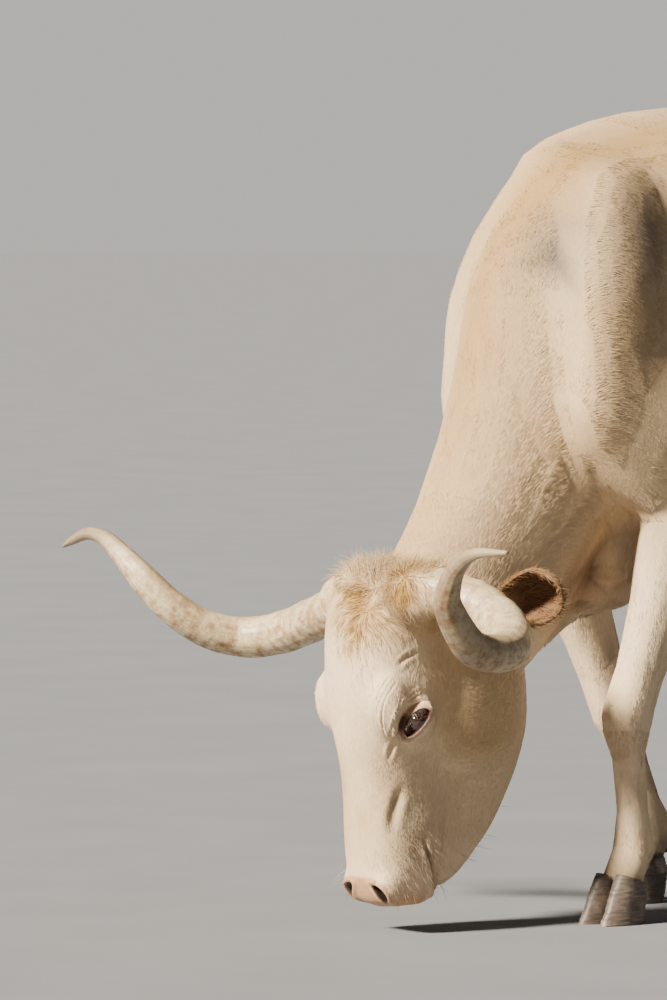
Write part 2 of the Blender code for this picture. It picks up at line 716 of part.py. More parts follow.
WHORL = (0.045, 0.078)               # where the poll's hair parts: across and along
POLL_LOCKS = 22
POLL_LOCK = (0.070, 0.0125, 0.0040)  # length, half width, half thickness
SWITCH_LOCKS = 15
SWITCH_LOCK = (0.235, 0.0170, 0.0060)
LOCK_SHAPE = ((0.00, 0.60), (0.22, 1.00), (0.55, 0.86), (0.82, 0.50), (1.00, 0.10))


def lock(points, flat, half, thick, collection):
    """A flat tapered lock along a path, its thin way along the flat vector."""
    stations = []
    for (share, size), i in zip(LOCK_SHAPE, range(len(points))):
        ahead = points[min(i + 1, len(points) - 1)] - points[max(i - 1, 0)]
        side = unit(ahead.cross(flat))
        up = unit(side.cross(ahead))
        width, depth = half * size, thick * (0.45 + 0.55 * size)
        stations.append([*points[i], *side, *up, width, depth, depth, 2.0, 0.0])
    loft("lock", stations, collection, around=4, steps=1)


def with_locks(obj, collection):
    """The object and a collection of locks as one closed surface."""
    union = obj.modifiers.new("Locks", "BOOLEAN")
    union.operation = "UNION"
    union.operand_type = "COLLECTION"
    union.collection = collection
    union.solver = "EXACT"
    applied(obj)
    for piece in list(collection.objects):
        bpy.data.objects.remove(piece)
    largest(obj)


def poll_locks(head):
    """Hair that fans out from the whorl and lies along the poll and forehead."""
    rng = np.random.default_rng(SEED)
    locks = new_clay("poll_locks")
    tree = BVHTree.FromObject(head, bpy.context.evaluated_depsgraph_get())
    for i in range(POLL_LOCKS):
        turn = i * 2.39996
        reach = 0.010 + 0.075 * math.sqrt(i / POLL_LOCKS)
        across = WHORL[0] - 0.050 * (reach / 0.085) + reach * math.cos(turn)
        along = WHORL[1] + 0.60 * reach * math.sin(turn)
        if abs(across) > 0.080:
            across = math.copysign(0.080, across)
        lean = unit(math.cos(turn + 0.4) * HEAD_SIDE + (math.sin(turn + 0.4) + 0.25) * NOSE + 0.05 * FACE)
        spot, normal = tree.find_nearest(on_head(across, 0.01, along))[:2]
        length = POLL_LOCK[0] * rng.uniform(0.75, 1.2)
        points = [spot - normal * 0.010]
        for step, lift in ((0.08, 0.0015), (0.42, 0.0045), (0.76, 0.0050), (1.00, 0.0045)):
            target = spot + lean * length * step
            near, out = tree.find_nearest(target)[:2]
            rise = lift * (2.4 if lean.dot(NOSE) < -0.2 else 1.0)
            points.append(near + out * rise)
        width = POLL_LOCK[1] * rng.uniform(0.8, 1.15)
        lock(points, normal, width, POLL_LOCK[2], locks)
    with_locks(head, locks)


def switch_locks(core):
    """Long locks that hang round the end of the tail, each with a bend of its own."""
    rng = np.random.default_rng(SEED + 1)
    locks = new_clay("switch_locks")
    top = Vector(TAIL_LINE[-1][:3])
    for i in range(SWITCH_LOCKS):
        turn = i * 2.39996
        out = Vector((math.cos(turn), math.sin(turn), 0))
        start = top - UP * (0.004 + 0.070 * (i / SWITCH_LOCKS))
        length = SWITCH_LOCK[0] * rng.uniform(0.80, 1.05)
        sway = Vector((-out.y, out.x, 0)) * rng.uniform(-0.012, 0.012)
        points = [start + out * 0.010]
        for step, spread in ((0.18, 0.0215), (0.48, 0.0270), (0.78, 0.0210), (1.00, 0.0100)):
            points.append(start - UP * length * step + out * spread + sway * step * step)
        lock(points, out, SWITCH_LOCK[1] * rng.uniform(0.85, 1.1), SWITCH_LOCK[2], locks)
    with_locks(core, locks)


# Feet, tail and udder

def foot_frame(name):
    """The coronet's centre and the way the toes point."""
    turn = {"fore_left": -4, "fore_right": 4, "hind_left": -7, "hind_right": 7}[name]
    return Vector(LEGS[name][4]), turned(FRONT, -turn)


CORONET_SLOPE = 20.0


def coronet_normal(name):
    ahead = foot_frame(name)[1]
    slope = math.radians(CORONET_SLOPE)
    return unit(-math.cos(slope) * UP + math.sin(slope) * ahead)


def claw(name, foot, side):
    centre, ahead = foot_frame(foot)
    across = unit(ahead.cross(UP)) * -1
    slope = math.radians(CORONET_SLOPE)
    up_toe = math.cos(slope) * ahead + math.sin(slope) * UP
    top = centre + coronet_normal(foot) * (GAP / 2)
    rows = []
    for share, half, front, back, forward in (
            (0.0, 0.0190, 0.034, 0.036, 0.000), (0.35, 0.0200, 0.040, 0.037, 0.006),
            (0.75, 0.0215, 0.047, 0.038, 0.013), (1.0, 0.0222, 0.052, 0.036, 0.018)):
        tilt = unit(up_toe.lerp(ahead, share))
        middle = Vector((top.x, top.y, top.z * (1 - share))) + ahead * forward
        middle = middle + across * side * (half + 0.0016)
        rows.append([*middle, *across, *tilt, half, front, back, 2.5, 0.0])
    obj = loft(name, rows, bpy.context.scene.collection, around=12, steps=1)
    for vertex in obj.data.vertices:
        if vertex.co.z < 0.002:
            vertex.co.z = 0.0
    return obj


def dewclaw(name, foot, side):
    fetlock, ahead = Vector(LEGS[foot][3]), foot_frame(foot)[1]
    across = unit(ahead.cross(UP)) * -1
    centre = fetlock - ahead * 0.037 + across * side * 0.019 - UP * 0.020
    down = unit(-UP - ahead * 0.55)
    path = [(*(centre - down * 0.010), 0.004), (*(centre - down * 0.006), 0.0115),
            (*(centre + down * 0.008), 0.0120), (*(centre + down * 0.020), 0.0085),
            (*(centre + down * 0.025), 0.0030)]
    return rounded_tube(name, path, 7, 1, bpy.context.scene.collection)


TAIL_LINE = (
    (0.000, 1.110, 1.250, 0.034), (0.000, 1.170, 1.258, 0.035), (0.000, 1.222, 1.240, 0.033),
    (0.000, 1.252, 1.190, 0.030), (0.000, 1.264, 1.110, 0.027), (0.002, 1.268, 1.000, 0.023),
    (0.004, 1.266, 0.850, 0.019),
    (0.005, 1.262, 0.720, 0.016), (0.006, 1.258, 0.620, 0.0145),
)
SWITCH_CORE = (
    (0.006, 1.258, 0.636, 0.0175), (0.007, 1.257, 0.590, 0.0225), (0.008, 1.255, 0.530, 0.0240),
    (0.009, 1.253, 0.480, 0.0170), (0.009, 1.252, 0.450, 0.0070),
)


def udder():
    clay = new_clay("udder_clay")
    muscle("bag", (0.0, 0.905, 0.615), (0.088, 0.130, 0.088), clay, along=(0, 0.15, 1))
    for side in (1, -1):
        for y in (0.850, 0.950):
            path = [(side * 0.040, y, 0.580, 0.016), (side * 0.044, y, 0.540, 0.0125),
                    (side * 0.046, y, 0.505, 0.0115), (side * 0.047, y, 0.482, 0.0085)]
            rounded_tube("teat", path, 12, 3, clay)
    obj = fused("udder", clay, 0.006, 6)
    thinned(obj, 420)
    return obj


def new_clay(name):
    clay = bpy.data.collections.new(name)
    bpy.context.scene.collection.children.link(clay)
    return clay


# Materials

MATERIALS = {
    "hide": ((0.78, 0.66, 0.50), 0.75),
    "horn": ((0.70, 0.62, 0.48), 0.45),
    "hoof": ((0.10, 0.08, 0.07), 0.50),
    "eye": ((0.035, 0.020, 0.015), 0.08),
    "udder_skin": ((0.66, 0.47, 0.40), 0.60),
    "tail_hair": ((0.70, 0.58, 0.42), 0.80),
}


def material(name):
    found = bpy.data.materials.get(name)
    if found:
        return found
    colour, roughness = MATERIALS[name]
    made_material = bpy.data.materials.new(name)
    made_material.use_nodes = True
    shader = made_material.node_tree.nodes["Principled BSDF"]
    shader.inputs["Base Color"].default_value = (*colour, 1)
    shader.inputs["Roughness"].default_value = roughness
    return made_material


def dressed(obj, name):
    obj.data.materials.clear()
    obj.data.materials.append(material(name))
    for face in obj.data.polygons:
        face.use_smooth = False
    return obj


# The whole animal

NECK_HEAD_POINT = Vector((-0.040, -0.215, 0.540))
NECK_HEAD_NORMAL = Vector((0.080, -0.470, -0.880))


def head_room(shift):
    """The space that the head takes up, beyond the plane where it joins the neck."""
    n = unit(NECK_HEAD_NORMAL)
    down = unit(Vector((0, 0.880, -0.470)))
    side = n.cross(down)
    centre = NECK_HEAD_POINT + n * (0.40 + shift) - down * 0.100
    return box(centre, (side, down, n), (0.45, 0.30, 0.40))


def clear_scene():
    for obj in list(bpy.data.objects):
        bpy.data.objects.remove(obj)


def body_clay(clay):
    torso_clay(clay)
    neck_clay("neck_clay", NECK, clay)
    neck_clay("dewlap_clay", DEWLAP, clay)
    for name, joints in LEGS.items():
        leg_clay(name, joints, FORELEG if name.startswith("fore") else HIND_LEG, clay)
    body_muscles(clay)


def head_clay(clay):
    head_loft("skull", SKULL, clay)
    head_loft("jaw", JAW, clay)
    head_muscles(clay)


def build_head(ears, horns, eyes):
    clay = new_clay("head_clay")
    neck_clay("neck_clay", NECK[4:], clay)
    head_clay(clay)
    head = fused("head", clay, HEAD_VOXEL, 28)
    sculpt_head(head)
    thinned(head, 3300)
    boolean(head, head_room(GAP / 2), "INTERSECT")
    largest(head)
    open_head(head)
    poll_locks(head)
    for part in ears:
        seat(head, part, 2.5 * GAP)
    for part in horns + eyes:
        seat(head, part)
    return head


def cut_neck_and_legs(body):
    """The thin cuts that part the neck and the legs, and a place in each part."""
    crest, throat = Vector((0, -0.195, 0.965)), Vector((0, -0.020, 0.480))
    normal = (crest - throat).cross(LEFT)
    slit(body, crest.lerp(throat, 0.37), normal, 0.34, 0.335)
    slit(body, crest.lerp(throat, 1.06), normal, 0.070, 0.058)
    places = {"torso": (0.0, 0.50, 0.95), "neck": (-0.02, -0.17, 0.68)}
    for foot, joints in LEGS.items():
        upper, knee, fetlock = (Vector(joint) for joint in joints[1:4])
        side = 1 if foot.endswith("left") else -1
        if foot.startswith("fore"):
            elbow = upper.lerp(knee, 0.43)
            slit(body, (side * 0.150, elbow.y, 0.530), (-side * 0.50, 0, 1), 0.125, 0.130)
        else:
            slit(body, upper.lerp(knee, 0.66), knee - upper, 0.100, 0.105)
        slit(body, knee - UP * 0.045, fetlock - knee, 0.070, 0.075)
        places["leg_upper_" + foot] = upper.lerp(knee, 0.75)
        places["leg_lower_" + foot] = knee.lerp(fetlock, 0.60)
    return places


def centre_on_origin():
    """The whole animal moved level so that the origin is under the middle of its box."""
    nodes = [obj for obj in bpy.context.scene.objects if obj.type == "MESH"]
    points = np.vstack([points_of(obj) for obj in nodes])
    middle = (points.min(axis=0) + points.max(axis=0)) / 2
    for obj in nodes:
        obj.data.transform(Matrix.Translation((-middle[0], -middle[1], 0)))


def main():
    clear_scene()
    clay = new_clay("body_clay")
    body_clay(clay)
    head_clay(clay)
    body = fused("body", clay, BODY_VOXEL, 10)
    points = points_of(body)
    softened(body, np.clip((points[:, 2] - 0.62) / 0.12, 0, 1) * (points[:, 1] > -0.28), 50)
    thinned(body, 4200)
    sides = (("left", 1), ("right", -1))
    ears = [ear("ear_" + word, word) for word, side in sides]
    horns = [horn("horn_" + word, word, side) for word, side in sides]
    eyes = [eyeball("eye_" + word, side) for word, side in sides]
    head = build_head(ears, horns, eyes)
    boolean(body, head_room(-GAP / 2))
    largest(body)
    tail = rounded_tube("tail", TAIL_LINE, 8, 2, bpy.context.scene.collection)
    bag = udder()
    seat(body, tail, 2 * GAP)
    seat(body, bag, 5 * GAP)
    claws, dewclaws = [], []
    for foot in LEGS:
        top = LEGS[foot][4]
        boolean(body, room_beyond(top, coronet_normal(foot), 0.09, 0.11, -GAP / 2))
        for word, side in (("inner", -1), ("outer", 1)):
            side = side if foot.endswith("left") else -side
            claws.append(claw(f"claw_{foot}_{word}", foot, side))
            dewclaws.append(dewclaw(f"dewclaw_{foot}_{word}", foot, side))
    largest(body)
    for part in dewclaws:
        seat(body, part)
    places = cut_neck_and_legs(body)
    flesh = [part_of(body, name, place) for name, place in places.items()]
    bpy.data.objects.remove(body)
    switch = rounded_tube("tail_switch", SWITCH_CORE, 8, 1, bpy.context.scene.collection)
    switch_locks(switch)
    seat(switch, tail)
    for obj in flesh + [head] + ears:
        dressed(obj, "hide")
    for obj in horns:
        dressed(obj, "horn")
    for obj in eyes:
        dressed(obj, "eye")
    for obj in claws + dewclaws:
        dressed(obj, "hoof")
    dressed(bag, "udder_skin")
    dressed(tail, "hide")
    dressed(switch, "tail_hair")
    centre_on_origin()


main()
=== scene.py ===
"""Looks of the Texas longhorn: one skin with its folds, coat, horns, hooves and eyes.

Places are worked out in the builder's own frame, where the cow faces -Y and her withers stand
over the origin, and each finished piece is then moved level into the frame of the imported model.
"""

import json
import math

import bmesh
import bpy
import numpy as np
from mathutils import Matrix, Vector

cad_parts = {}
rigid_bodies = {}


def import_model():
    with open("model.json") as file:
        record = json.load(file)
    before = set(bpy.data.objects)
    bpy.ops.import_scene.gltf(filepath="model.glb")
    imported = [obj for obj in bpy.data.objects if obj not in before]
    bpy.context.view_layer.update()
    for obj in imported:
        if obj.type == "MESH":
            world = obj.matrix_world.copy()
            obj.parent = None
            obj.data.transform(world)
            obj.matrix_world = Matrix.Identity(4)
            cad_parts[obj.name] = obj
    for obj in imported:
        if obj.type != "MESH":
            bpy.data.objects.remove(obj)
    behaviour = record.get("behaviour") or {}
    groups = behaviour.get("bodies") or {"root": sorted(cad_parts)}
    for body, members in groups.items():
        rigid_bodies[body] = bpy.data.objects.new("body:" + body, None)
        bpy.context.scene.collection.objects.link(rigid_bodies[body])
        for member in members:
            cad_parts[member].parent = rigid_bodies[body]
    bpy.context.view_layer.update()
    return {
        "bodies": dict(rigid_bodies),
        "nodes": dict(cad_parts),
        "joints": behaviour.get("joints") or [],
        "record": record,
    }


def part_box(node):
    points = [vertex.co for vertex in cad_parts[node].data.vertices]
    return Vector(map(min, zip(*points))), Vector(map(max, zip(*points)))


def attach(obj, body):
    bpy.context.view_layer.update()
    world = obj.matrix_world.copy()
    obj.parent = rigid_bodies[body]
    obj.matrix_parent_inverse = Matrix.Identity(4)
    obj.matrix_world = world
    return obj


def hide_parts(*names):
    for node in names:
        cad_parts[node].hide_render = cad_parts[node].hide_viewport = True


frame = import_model()

# Driving dimensions, as in the solids
EYE_HEIGHT = 0.360
HEAD_YAW = 10.0          # degrees that the head turns to the cow's right
HEAD_TUCK = 8.0          # degrees that the nose is drawn back from plumb
KNEE_HEIGHT = 0.325
HOCK_HEIGHT = 0.490
FETLOCK_HEIGHT = 0.118
CORONET_HEIGHT = 0.060
EYEBALL_RADIUS = 0.0205
COAT_DEPTH = 0.0025      # the skin lies this far inside the solids

# Facets
BODY_VOXEL = 0.011
HEAD_VOXEL = 0.0042
SKIN_VOXEL = 0.003
BODY_SHARE = 0.14        # share of the faces that the skin keeps behind the head
RING = 40                # points round a loft
STEPS = 6                # rings from one station of a loft to the next

SEED = 7

UP = Vector((0, 0, 1))
FRONT = Vector((0, -1, 0))
LEFT = Vector((1, 0, 0))


# Small geometry helpers

def unit(v):
    return Vector(v).normalized()


def units(rows):
    """Each row at length one."""
    return rows / np.maximum(np.linalg.norm(rows, axis=1, keepdims=True), 1e-9)


def bump(distance, width):
    return np.exp(-(distance / width) ** 2)


def distances(points, place):
    """How far each point is from one place."""
    return np.linalg.norm(points - np.array(place), axis=1)


def rise(value, low, high):
    """A smooth step from 0 at low to 1 at high."""
    t = np.clip((value - low) / (high - low), 0, 1)
    return t * t * (3 - 2 * t)


def span(value, start, full, fading, end):
    """A smooth rise from 0 at start to 1 at full, and back to 0 from fading to end."""
    return rise(value, start, full) * (1 - rise(value, fading, end))


def spline(values, steps):
    """Catmull-Rom through rows of numbers, with this many steps between two rows."""
    p = np.array(values, float)
    p = np.vstack([2 * p[0] - p[1], p, 2 * p[-1] - p[-2]])
    rows = []
    for i in range(1, len(p) - 2):
        for t in np.arange(steps) / steps:
            a = 2 * p[i]
            b = (p[i + 1] - p[i - 1]) * t
            c = (2 * p[i - 1] - 5 * p[i] + 4 * p[i + 1] - p[i + 2]) * t ** 2
            d = (3 * p[i] - p[i - 1] - 3 * p[i + 1] + p[i + 2]) * t ** 3
            rows.append((a + b + c + d) / 2)
    rows.append(p[-2])
    return np.array(rows)


def linked(name, mesh, collection=None):
    obj = bpy.data.objects.new(name, mesh)
    (collection or bpy.context.scene.collection).objects.link(obj)
    return obj


def object_from(bm, name, collection=None):
    """A new object from a bmesh, which is then freed."""
    mesh = bpy.data.meshes.new(name)
    bm.to_mesh(mesh)
    bm.free()
    return linked(name, mesh, collection)


def mesh_object(name, points, faces, collection=None):
    mesh = bpy.data.meshes.new(name)
    mesh.from_pydata([tuple(p) for p in points], [], [tuple(f) for f in faces])
    mesh.update()
    return linked(name, mesh, collection)


def triangle_object(name, points, triangles):
    """A large mesh straight from arrays."""
    mesh = bpy.data.meshes.new(name)
    mesh.vertices.add(len(points))
    mesh.vertices.foreach_set("co", np.asarray(points, np.float32).ravel())
    mesh.loops.add(triangles.size)
    mesh.loops.foreach_set("vertex_index", np.asarray(triangles, np.int32).ravel())
    mesh.polygons.add(len(triangles))
    mesh.polygons.foreach_set("loop_start", np.arange(0, triangles.size, 3, dtype=np.int32))
    mesh.update(calc_edges=True)
    return linked(name, mesh)


def ring_faces(rings, around):
    """Quads between one ring of points and the next."""
    faces = []
    for low in range(0, (rings - 1) * around, around):
        for k in range(around):
            n = (k + 1) % around
            faces.append((low + k, low + n, low + around + n, low + around + k))
    return faces


def tube_faces(rings, around):
    """Quads between rings, and a fan over each end whose tip is an extra point."""
    faces = ring_faces(rings, around)
    first, last = rings * around, rings * around + 1
    for k in range(around):
        n = (k + 1) % around
        faces.append((first, n, k))
        faces.append((last, (rings - 1) * around + k, (rings - 1) * around + n))
    return faces


def loft(name, stations, collection, around=RING, steps=STEPS):
    """A closed loft. A station holds centre (3), side axis (3), dorsal axis (3), half width,
    reach up, reach down, roundness (2 is an ellipse) and taper (wider at the top if above 0)."""
    rows = spline(stations, steps)
    angle = np.arange(around) * 2 * math.pi / around
    cosine, sine = np.cos(angle), np.sin(angle)
    points = []
    for row in rows:
        centre, side, dorsal = row[0:3], row[3:6], row[6:9]
        side = side / np.linalg.norm(side)
        dorsal = dorsal / np.linalg.norm(dorsal)
        width, up, down, power, taper = row[9:14]
        across = np.sign(cosine) * np.abs(cosine) ** (2 / power)
        along = np.sign(sine) * np.abs(sine) ** (2 / power)
        reach = np.where(along > 0, up, down)
        x = across * width * (1 + taper * along)
        points.append(centre + np.outer(x, side) + np.outer(along * reach, dorsal))
    points = np.vstack(points)
    ends = np.array([rows[0][0:3], rows[-1][0:3]])
    faces = tube_faces(len(rows), around)
    return face_outwards(mesh_object(name, np.vstack([points, ends]), faces, collection))


def face_outwards(obj):
    bm = bmesh.new()
    bm.from_mesh(obj.data)
    bmesh.ops.recalc_face_normals(bm, faces=bm.faces)
    bm.to_mesh(obj.data)
    bm.free()
    return obj


def limb_stations(rows, side=LEFT):
    """Stations of a limb from rows of centre (3), half width, reach forward and reach back.
    Each section stands square to the limb's own line."""
    points = [Vector(row[:3]) for row in rows]
    stations = []
    for i, row in enumerate(rows):
        ahead = points[min(i + 1, len(rows) - 1)]
        along = unit(ahead - points[max(i - 1, 0)])
        front = unit(along.cross(side))
        if front.y > 0:
            front = -front
        across = unit(front.cross(along))
        stations.append([*points[i], *across, *front, row[3], row[4], row[5], 2.1, 0.0])
    return stations


def muscle(name, centre, radii, collection, along=(0, 0, 1), lean=(1, 0, 0)):
    """An ellipsoid whose third radius lies along one direction and first radius near another."""
    z = unit(along)
    y = unit(z.cross(Vector(lean)))
    x = y.cross(z)
    bm = bmesh.new()
    bmesh.ops.create_uvsphere(bm, u_segments=28, v_segments=16, radius=1.0)
    turn = Matrix((x, y, z)).transposed().to_4x4()
    bm.transform(Matrix.Translation(Vector(centre)) @ turn @ Matrix.Diagonal((*radii, 1.0)))
    return object_from(bm, name, collection)


def rounded_tube(name, path, around, steps, collection=None):
    """A closed loft with round sections, from rows of centre (3) and radius."""
    rows = spline(path, steps)
    points = [Vector(row[:3]) for row in rows]
    side = unit((points[1] - points[0]).cross(Vector((0.2, 0.3, 1))))
    vertices = []
    for i, row in enumerate(rows):
        ahead = unit(points[min(i + 1, len(rows) - 1)] - points[max(i - 1, 0)])
        side = unit(side - ahead * side.dot(ahead))
        other = ahead.cross(side)
        for k in range(around):
            a = k * 2 * math.pi / around
            vertices.append(points[i] + (math.cos(a) * side + math.sin(a) * other) * row[3])
    vertices += [points[0], points[-1]]
    return face_outwards(mesh_object(name, vertices, tube_faces(len(rows), around), collection))


# The head's own frame: across to her left, face outwards from the forehead, nose towards the muzzle

def turned(v, degrees):
    return Matrix.Rotation(math.radians(degrees), 3, "Z") @ Vector(v)


HEAD_SIDE = turned(LEFT, -HEAD_YAW)
HEAD_AHEAD = turned(FRONT, -HEAD_YAW)
TUCK = math.radians(HEAD_TUCK)
NOSE = -math.sin(TUCK) * HEAD_AHEAD - math.cos(TUCK) * UP
FACE = math.cos(TUCK) * HEAD_AHEAD - math.sin(TUCK) * UP
FOREHEAD_AT_EYES = Vector((-0.0335, -0.4615, EYE_HEIGHT))
EYE_FROM_POLL = 0.25
POLL = FOREHEAD_AT_EYES - EYE_FROM_POLL * NOSE


def on_head(across, out, along):
    """A point from its place in the head: across to the left, out from the face, along the nose."""
    return POLL + across * HEAD_SIDE + out * FACE + along * NOSE


def on_side(place, side):
    """A place in the head, on its left for side 1 and mirrored to its right for -1."""
    return on_head(side * place[0], *place[1:])


def in_head(points):
    """World points as rows of across, out and along."""
    return (points - np.array(POLL)) @ np.array([HEAD_SIDE, FACE, NOSE]).T


def beside_head(across, ahead, height):
    """A point from its place in the level frame that turns with the head."""
    level = across * HEAD_SIDE + ahead * HEAD_AHEAD + (height - EYE_HEIGHT) * UP
    return FOREHEAD_AT_EYES + level


def head_vector(v, side=1):
    return unit(side * v[0] * HEAD_SIDE + v[1] * FACE + v[2] * NOSE)


# Body shapes

# along the back: y, top, bottom, half width, roundness, taper, roll in degrees (right side up)
TORSO = (
    (-0.13, 1.050, 0.790, 0.095, 2.0, 0.00, 0),
    (-0.07, 1.165, 0.670, 0.155, 2.0, -0.15, 3),
    (0.00, 1.222, 0.585, 0.192, 2.0, -0.28, 6),
    (0.10, 1.240, 0.545, 0.215, 2.1, -0.28, 8),
    (0.22, 1.272, 0.535, 0.236, 2.2, -0.22, 10),
    (0.40, 1.296, 0.530, 0.272, 2.2, -0.18, 11),
    (0.60, 1.296, 0.520, 0.300, 2.2, -0.16, 7),
    (0.78, 1.300, 0.535, 0.292, 2.2, -0.12, 3),
    (0.92, 1.320, 0.600, 0.258, 2.3, -0.05, 0),
    (1.04, 1.318, 0.740, 0.215, 2.3, 0.00, 0),
    (1.15, 1.285, 0.880, 0.160, 2.2, 0.00, 0),
    (1.22, 1.215, 1.010, 0.095, 2.0, 0.00, 0),
)

# down the neck: crest y and z, underside y and z, half width, shift to her left, taper
NECK = (
    (0.000, 1.205, 0.260, 0.800, 0.135, 0.000, -0.28),
    (-0.095, 1.145, 0.210, 0.740, 0.160, 0.000, -0.28),
    (-0.165, 1.055, 0.165, 0.700, 0.160, -0.002, -0.25),
    (-0.190, 0.945, 0.120, 0.665, 0.148, -0.004, -0.22),
    (-0.216, 0.840, 0.075, 0.620, 0.132, -0.008, -0.16),
    (-0.248, 0.745, 0.030, 0.545, 0.118, -0.014, -0.08),
    (-0.286, 0.655, -0.025, 0.465, 0.104, -0.022, -0.02),
    (-0.330, 0.580, -0.085, 0.400, 0.092, -0.032, 0.00),
    (-0.380, 0.520, -0.150, 0.360, 0.082, -0.040, 0.00),
)

# the dewlap from throat to brisket, in the same way
DEWLAP = (
    (-0.100, 0.470, -0.055, 0.415, 0.016, -0.025, 0.0),
    (-0.050, 0.520, -0.005, 0.440, 0.018, -0.018, 0.0),
    (0.000, 0.580, 0.045, 0.478, 0.021, -0.010, 0.0),
    (0.060, 0.640, 0.085, 0.505, 0.026, -0.004, 0.0),
    (0.140, 0.680, 0.135, 0.515, 0.034, 0.000, 0.0),
    (0.220, 0.680, 0.215, 0.525, 0.034, 0.000, 0.0),
)

# joints of each leg: top, elbow or stifle, knee or hock, fetlock, coronet
LEGS = {
    "fore_left": ((0.150, 0.080, 0.86), (0.165, 0.135, 0.69), (0.130, 0.012, KNEE_HEIGHT),
                  (0.126, 0.034, FETLOCK_HEIGHT), (0.126, 0.004, CORONET_HEIGHT)),
    "fore_right": ((-0.150, 0.050, 0.86), (-0.158, 0.095, 0.70), (-0.120, 0.243, KNEE_HEIGHT - 0.008),
                   (-0.114, 0.322, FETLOCK_HEIGHT), (-0.114, 0.298, CORONET_HEIGHT)),
    "hind_left": ((0.140, 1.000, 1.05), (0.170, 0.870, 0.78), (0.125, 1.165, HOCK_HEIGHT),
                  (0.122, 1.135, FETLOCK_HEIGHT), (0.122, 1.098, CORONET_HEIGHT)),
    "hind_right": ((-0.140, 0.980, 1.05), (-0.170, 0.800, 0.77), (-0.125, 1.020, HOCK_HEIGHT - 0.01),
                   (-0.122, 0.960, FETLOCK_HEIGHT), (-0.122, 0.922, CORONET_HEIGHT)),
}

# down a foreleg: joint reached, share of the way to it, half width, reach forward, reach back
FORELEG = (
    (0, 1.00, 0.070, 0.110, 0.120), (1, 0.55, 0.068, 0.098, 0.112), (1, 1.00, 0.063, 0.092, 0.104),
    (2, 0.25, 0.057, 0.078, 0.090), (2, 0.50, 0.047, 0.058, 0.064), (2, 0.78, 0.040, 0.045, 0.045),
    (2, 0.96, 0.044, 0.045, 0.043), (3, 0.08, 0.043, 0.042, 0.043), (3, 0.24, 0.031, 0.030, 0.036),
    (3, 0.50, 0.027, 0.026, 0.033), (3, 0.76, 0.029, 0.028, 0.034), (3, 1.00, 0.037, 0.034, 0.042),
    (4, 0.50, 0.034, 0.030, 0.034), (4, 0.90, 0.041, 0.034, 0.038), (4, 1.00, 0.042, 0.035, 0.039),
)

# down a hind leg, in the same way
HIND_LEG = (
    (0, 1.00, 0.085, 0.150, 0.170), (1, 0.50, 0.088, 0.140, 0.225), (1, 1.00, 0.080, 0.105, 0.200),
    (2, 0.30, 0.064, 0.074, 0.115), (2, 0.60, 0.046, 0.049, 0.064), (2, 0.84, 0.036, 0.042, 0.048),
    (2, 1.00, 0.038, 0.046, 0.044), (3, 0.14, 0.034, 0.040, 0.036), (3, 0.30, 0.029, 0.031, 0.034),
    (3, 0.55, 0.027, 0.028, 0.034), (3, 0.80, 0.030, 0.030, 0.036), (3, 1.00, 0.037, 0.035, 0.043),
    (4, 0.50, 0.034, 0.030, 0.035), (4, 0.90, 0.040, 0.034, 0.039), (4, 1.00, 0.041, 0.035, 0.040),
)

# along the skull: along, front, back, half width, roundness, taper (wider at the face)
SKULL = (
    (0.036, -0.085, -0.120, 0.045, 2.0, 0.00),
    (0.054, -0.058, -0.165, 0.080, 2.1, 0.00),
    (0.085, -0.036, -0.215, 0.103, 2.2, 0.05),
    (0.132, -0.018, -0.250, 0.105, 2.4, 0.10),
    (0.190, -0.006, -0.270, 0.099, 2.5, 0.12),
    (0.245, 0.000, -0.270, 0.100, 2.5, 0.12),
    (0.300, 0.001, -0.250, 0.085, 2.4, 0.06),
    (0.350, 0.000, -0.215, 0.071, 2.4, 0.02),
    (0.400, 0.000, -0.180, 0.066, 2.6, 0.00),
    (0.450, 0.002, -0.158, 0.069, 2.8, -0.02),
    (0.495, 0.003, -0.144, 0.071, 2.8, -0.02),
    (0.535, 0.002, -0.130, 0.069, 2.6, 0.00),
    (0.565, -0.010, -0.112, 0.060, 2.3, 0.00),
    (0.580, -0.030, -0.092, 0.040, 2.0, 0.00),
)

# along the lower jaw, in the same way
JAW = (
    (0.150, -0.150, -0.300, 0.066, 2.2, 0.05),
    (0.200, -0.150, -0.331, 0.086, 2.4, 0.02),
    (0.260, -0.150, -0.334, 0.092, 2.5, 0.02),
    (0.330, -0.150, -0.327, 0.087, 2.5, 0.02),
    (0.390, -0.140, -0.307, 0.076, 2.4, 0.02),
    (0.440, -0.120, -0.281, 0.063, 2.3, 0.00),
    (0.485, -0.105, -0.250, 0.052, 2.3, 0.00),
    (0.520, -0.098, -0.212, 0.046, 2.3, 0.00),
    (0.548, -0.098, -0.178, 0.039, 2.2, 0.00),
    (0.564, -0.108, -0.150, 0.024, 2.0, 0.00),
)

TAIL_LINE = (
    (0.000, 1.110, 1.250, 0.034), (0.000, 1.170, 1.258, 0.035), (0.000, 1.222, 1.240, 0.033),
    (0.000, 1.252, 1.190, 0.030), (0.000, 1.264, 1.110, 0.027), (0.002, 1.268, 1.000, 0.023),
    (0.004, 1.266, 0.850, 0.019),
    (0.005, 1.262, 0.720, 0.016), (0.006, 1.258, 0.620, 0.0145),
)


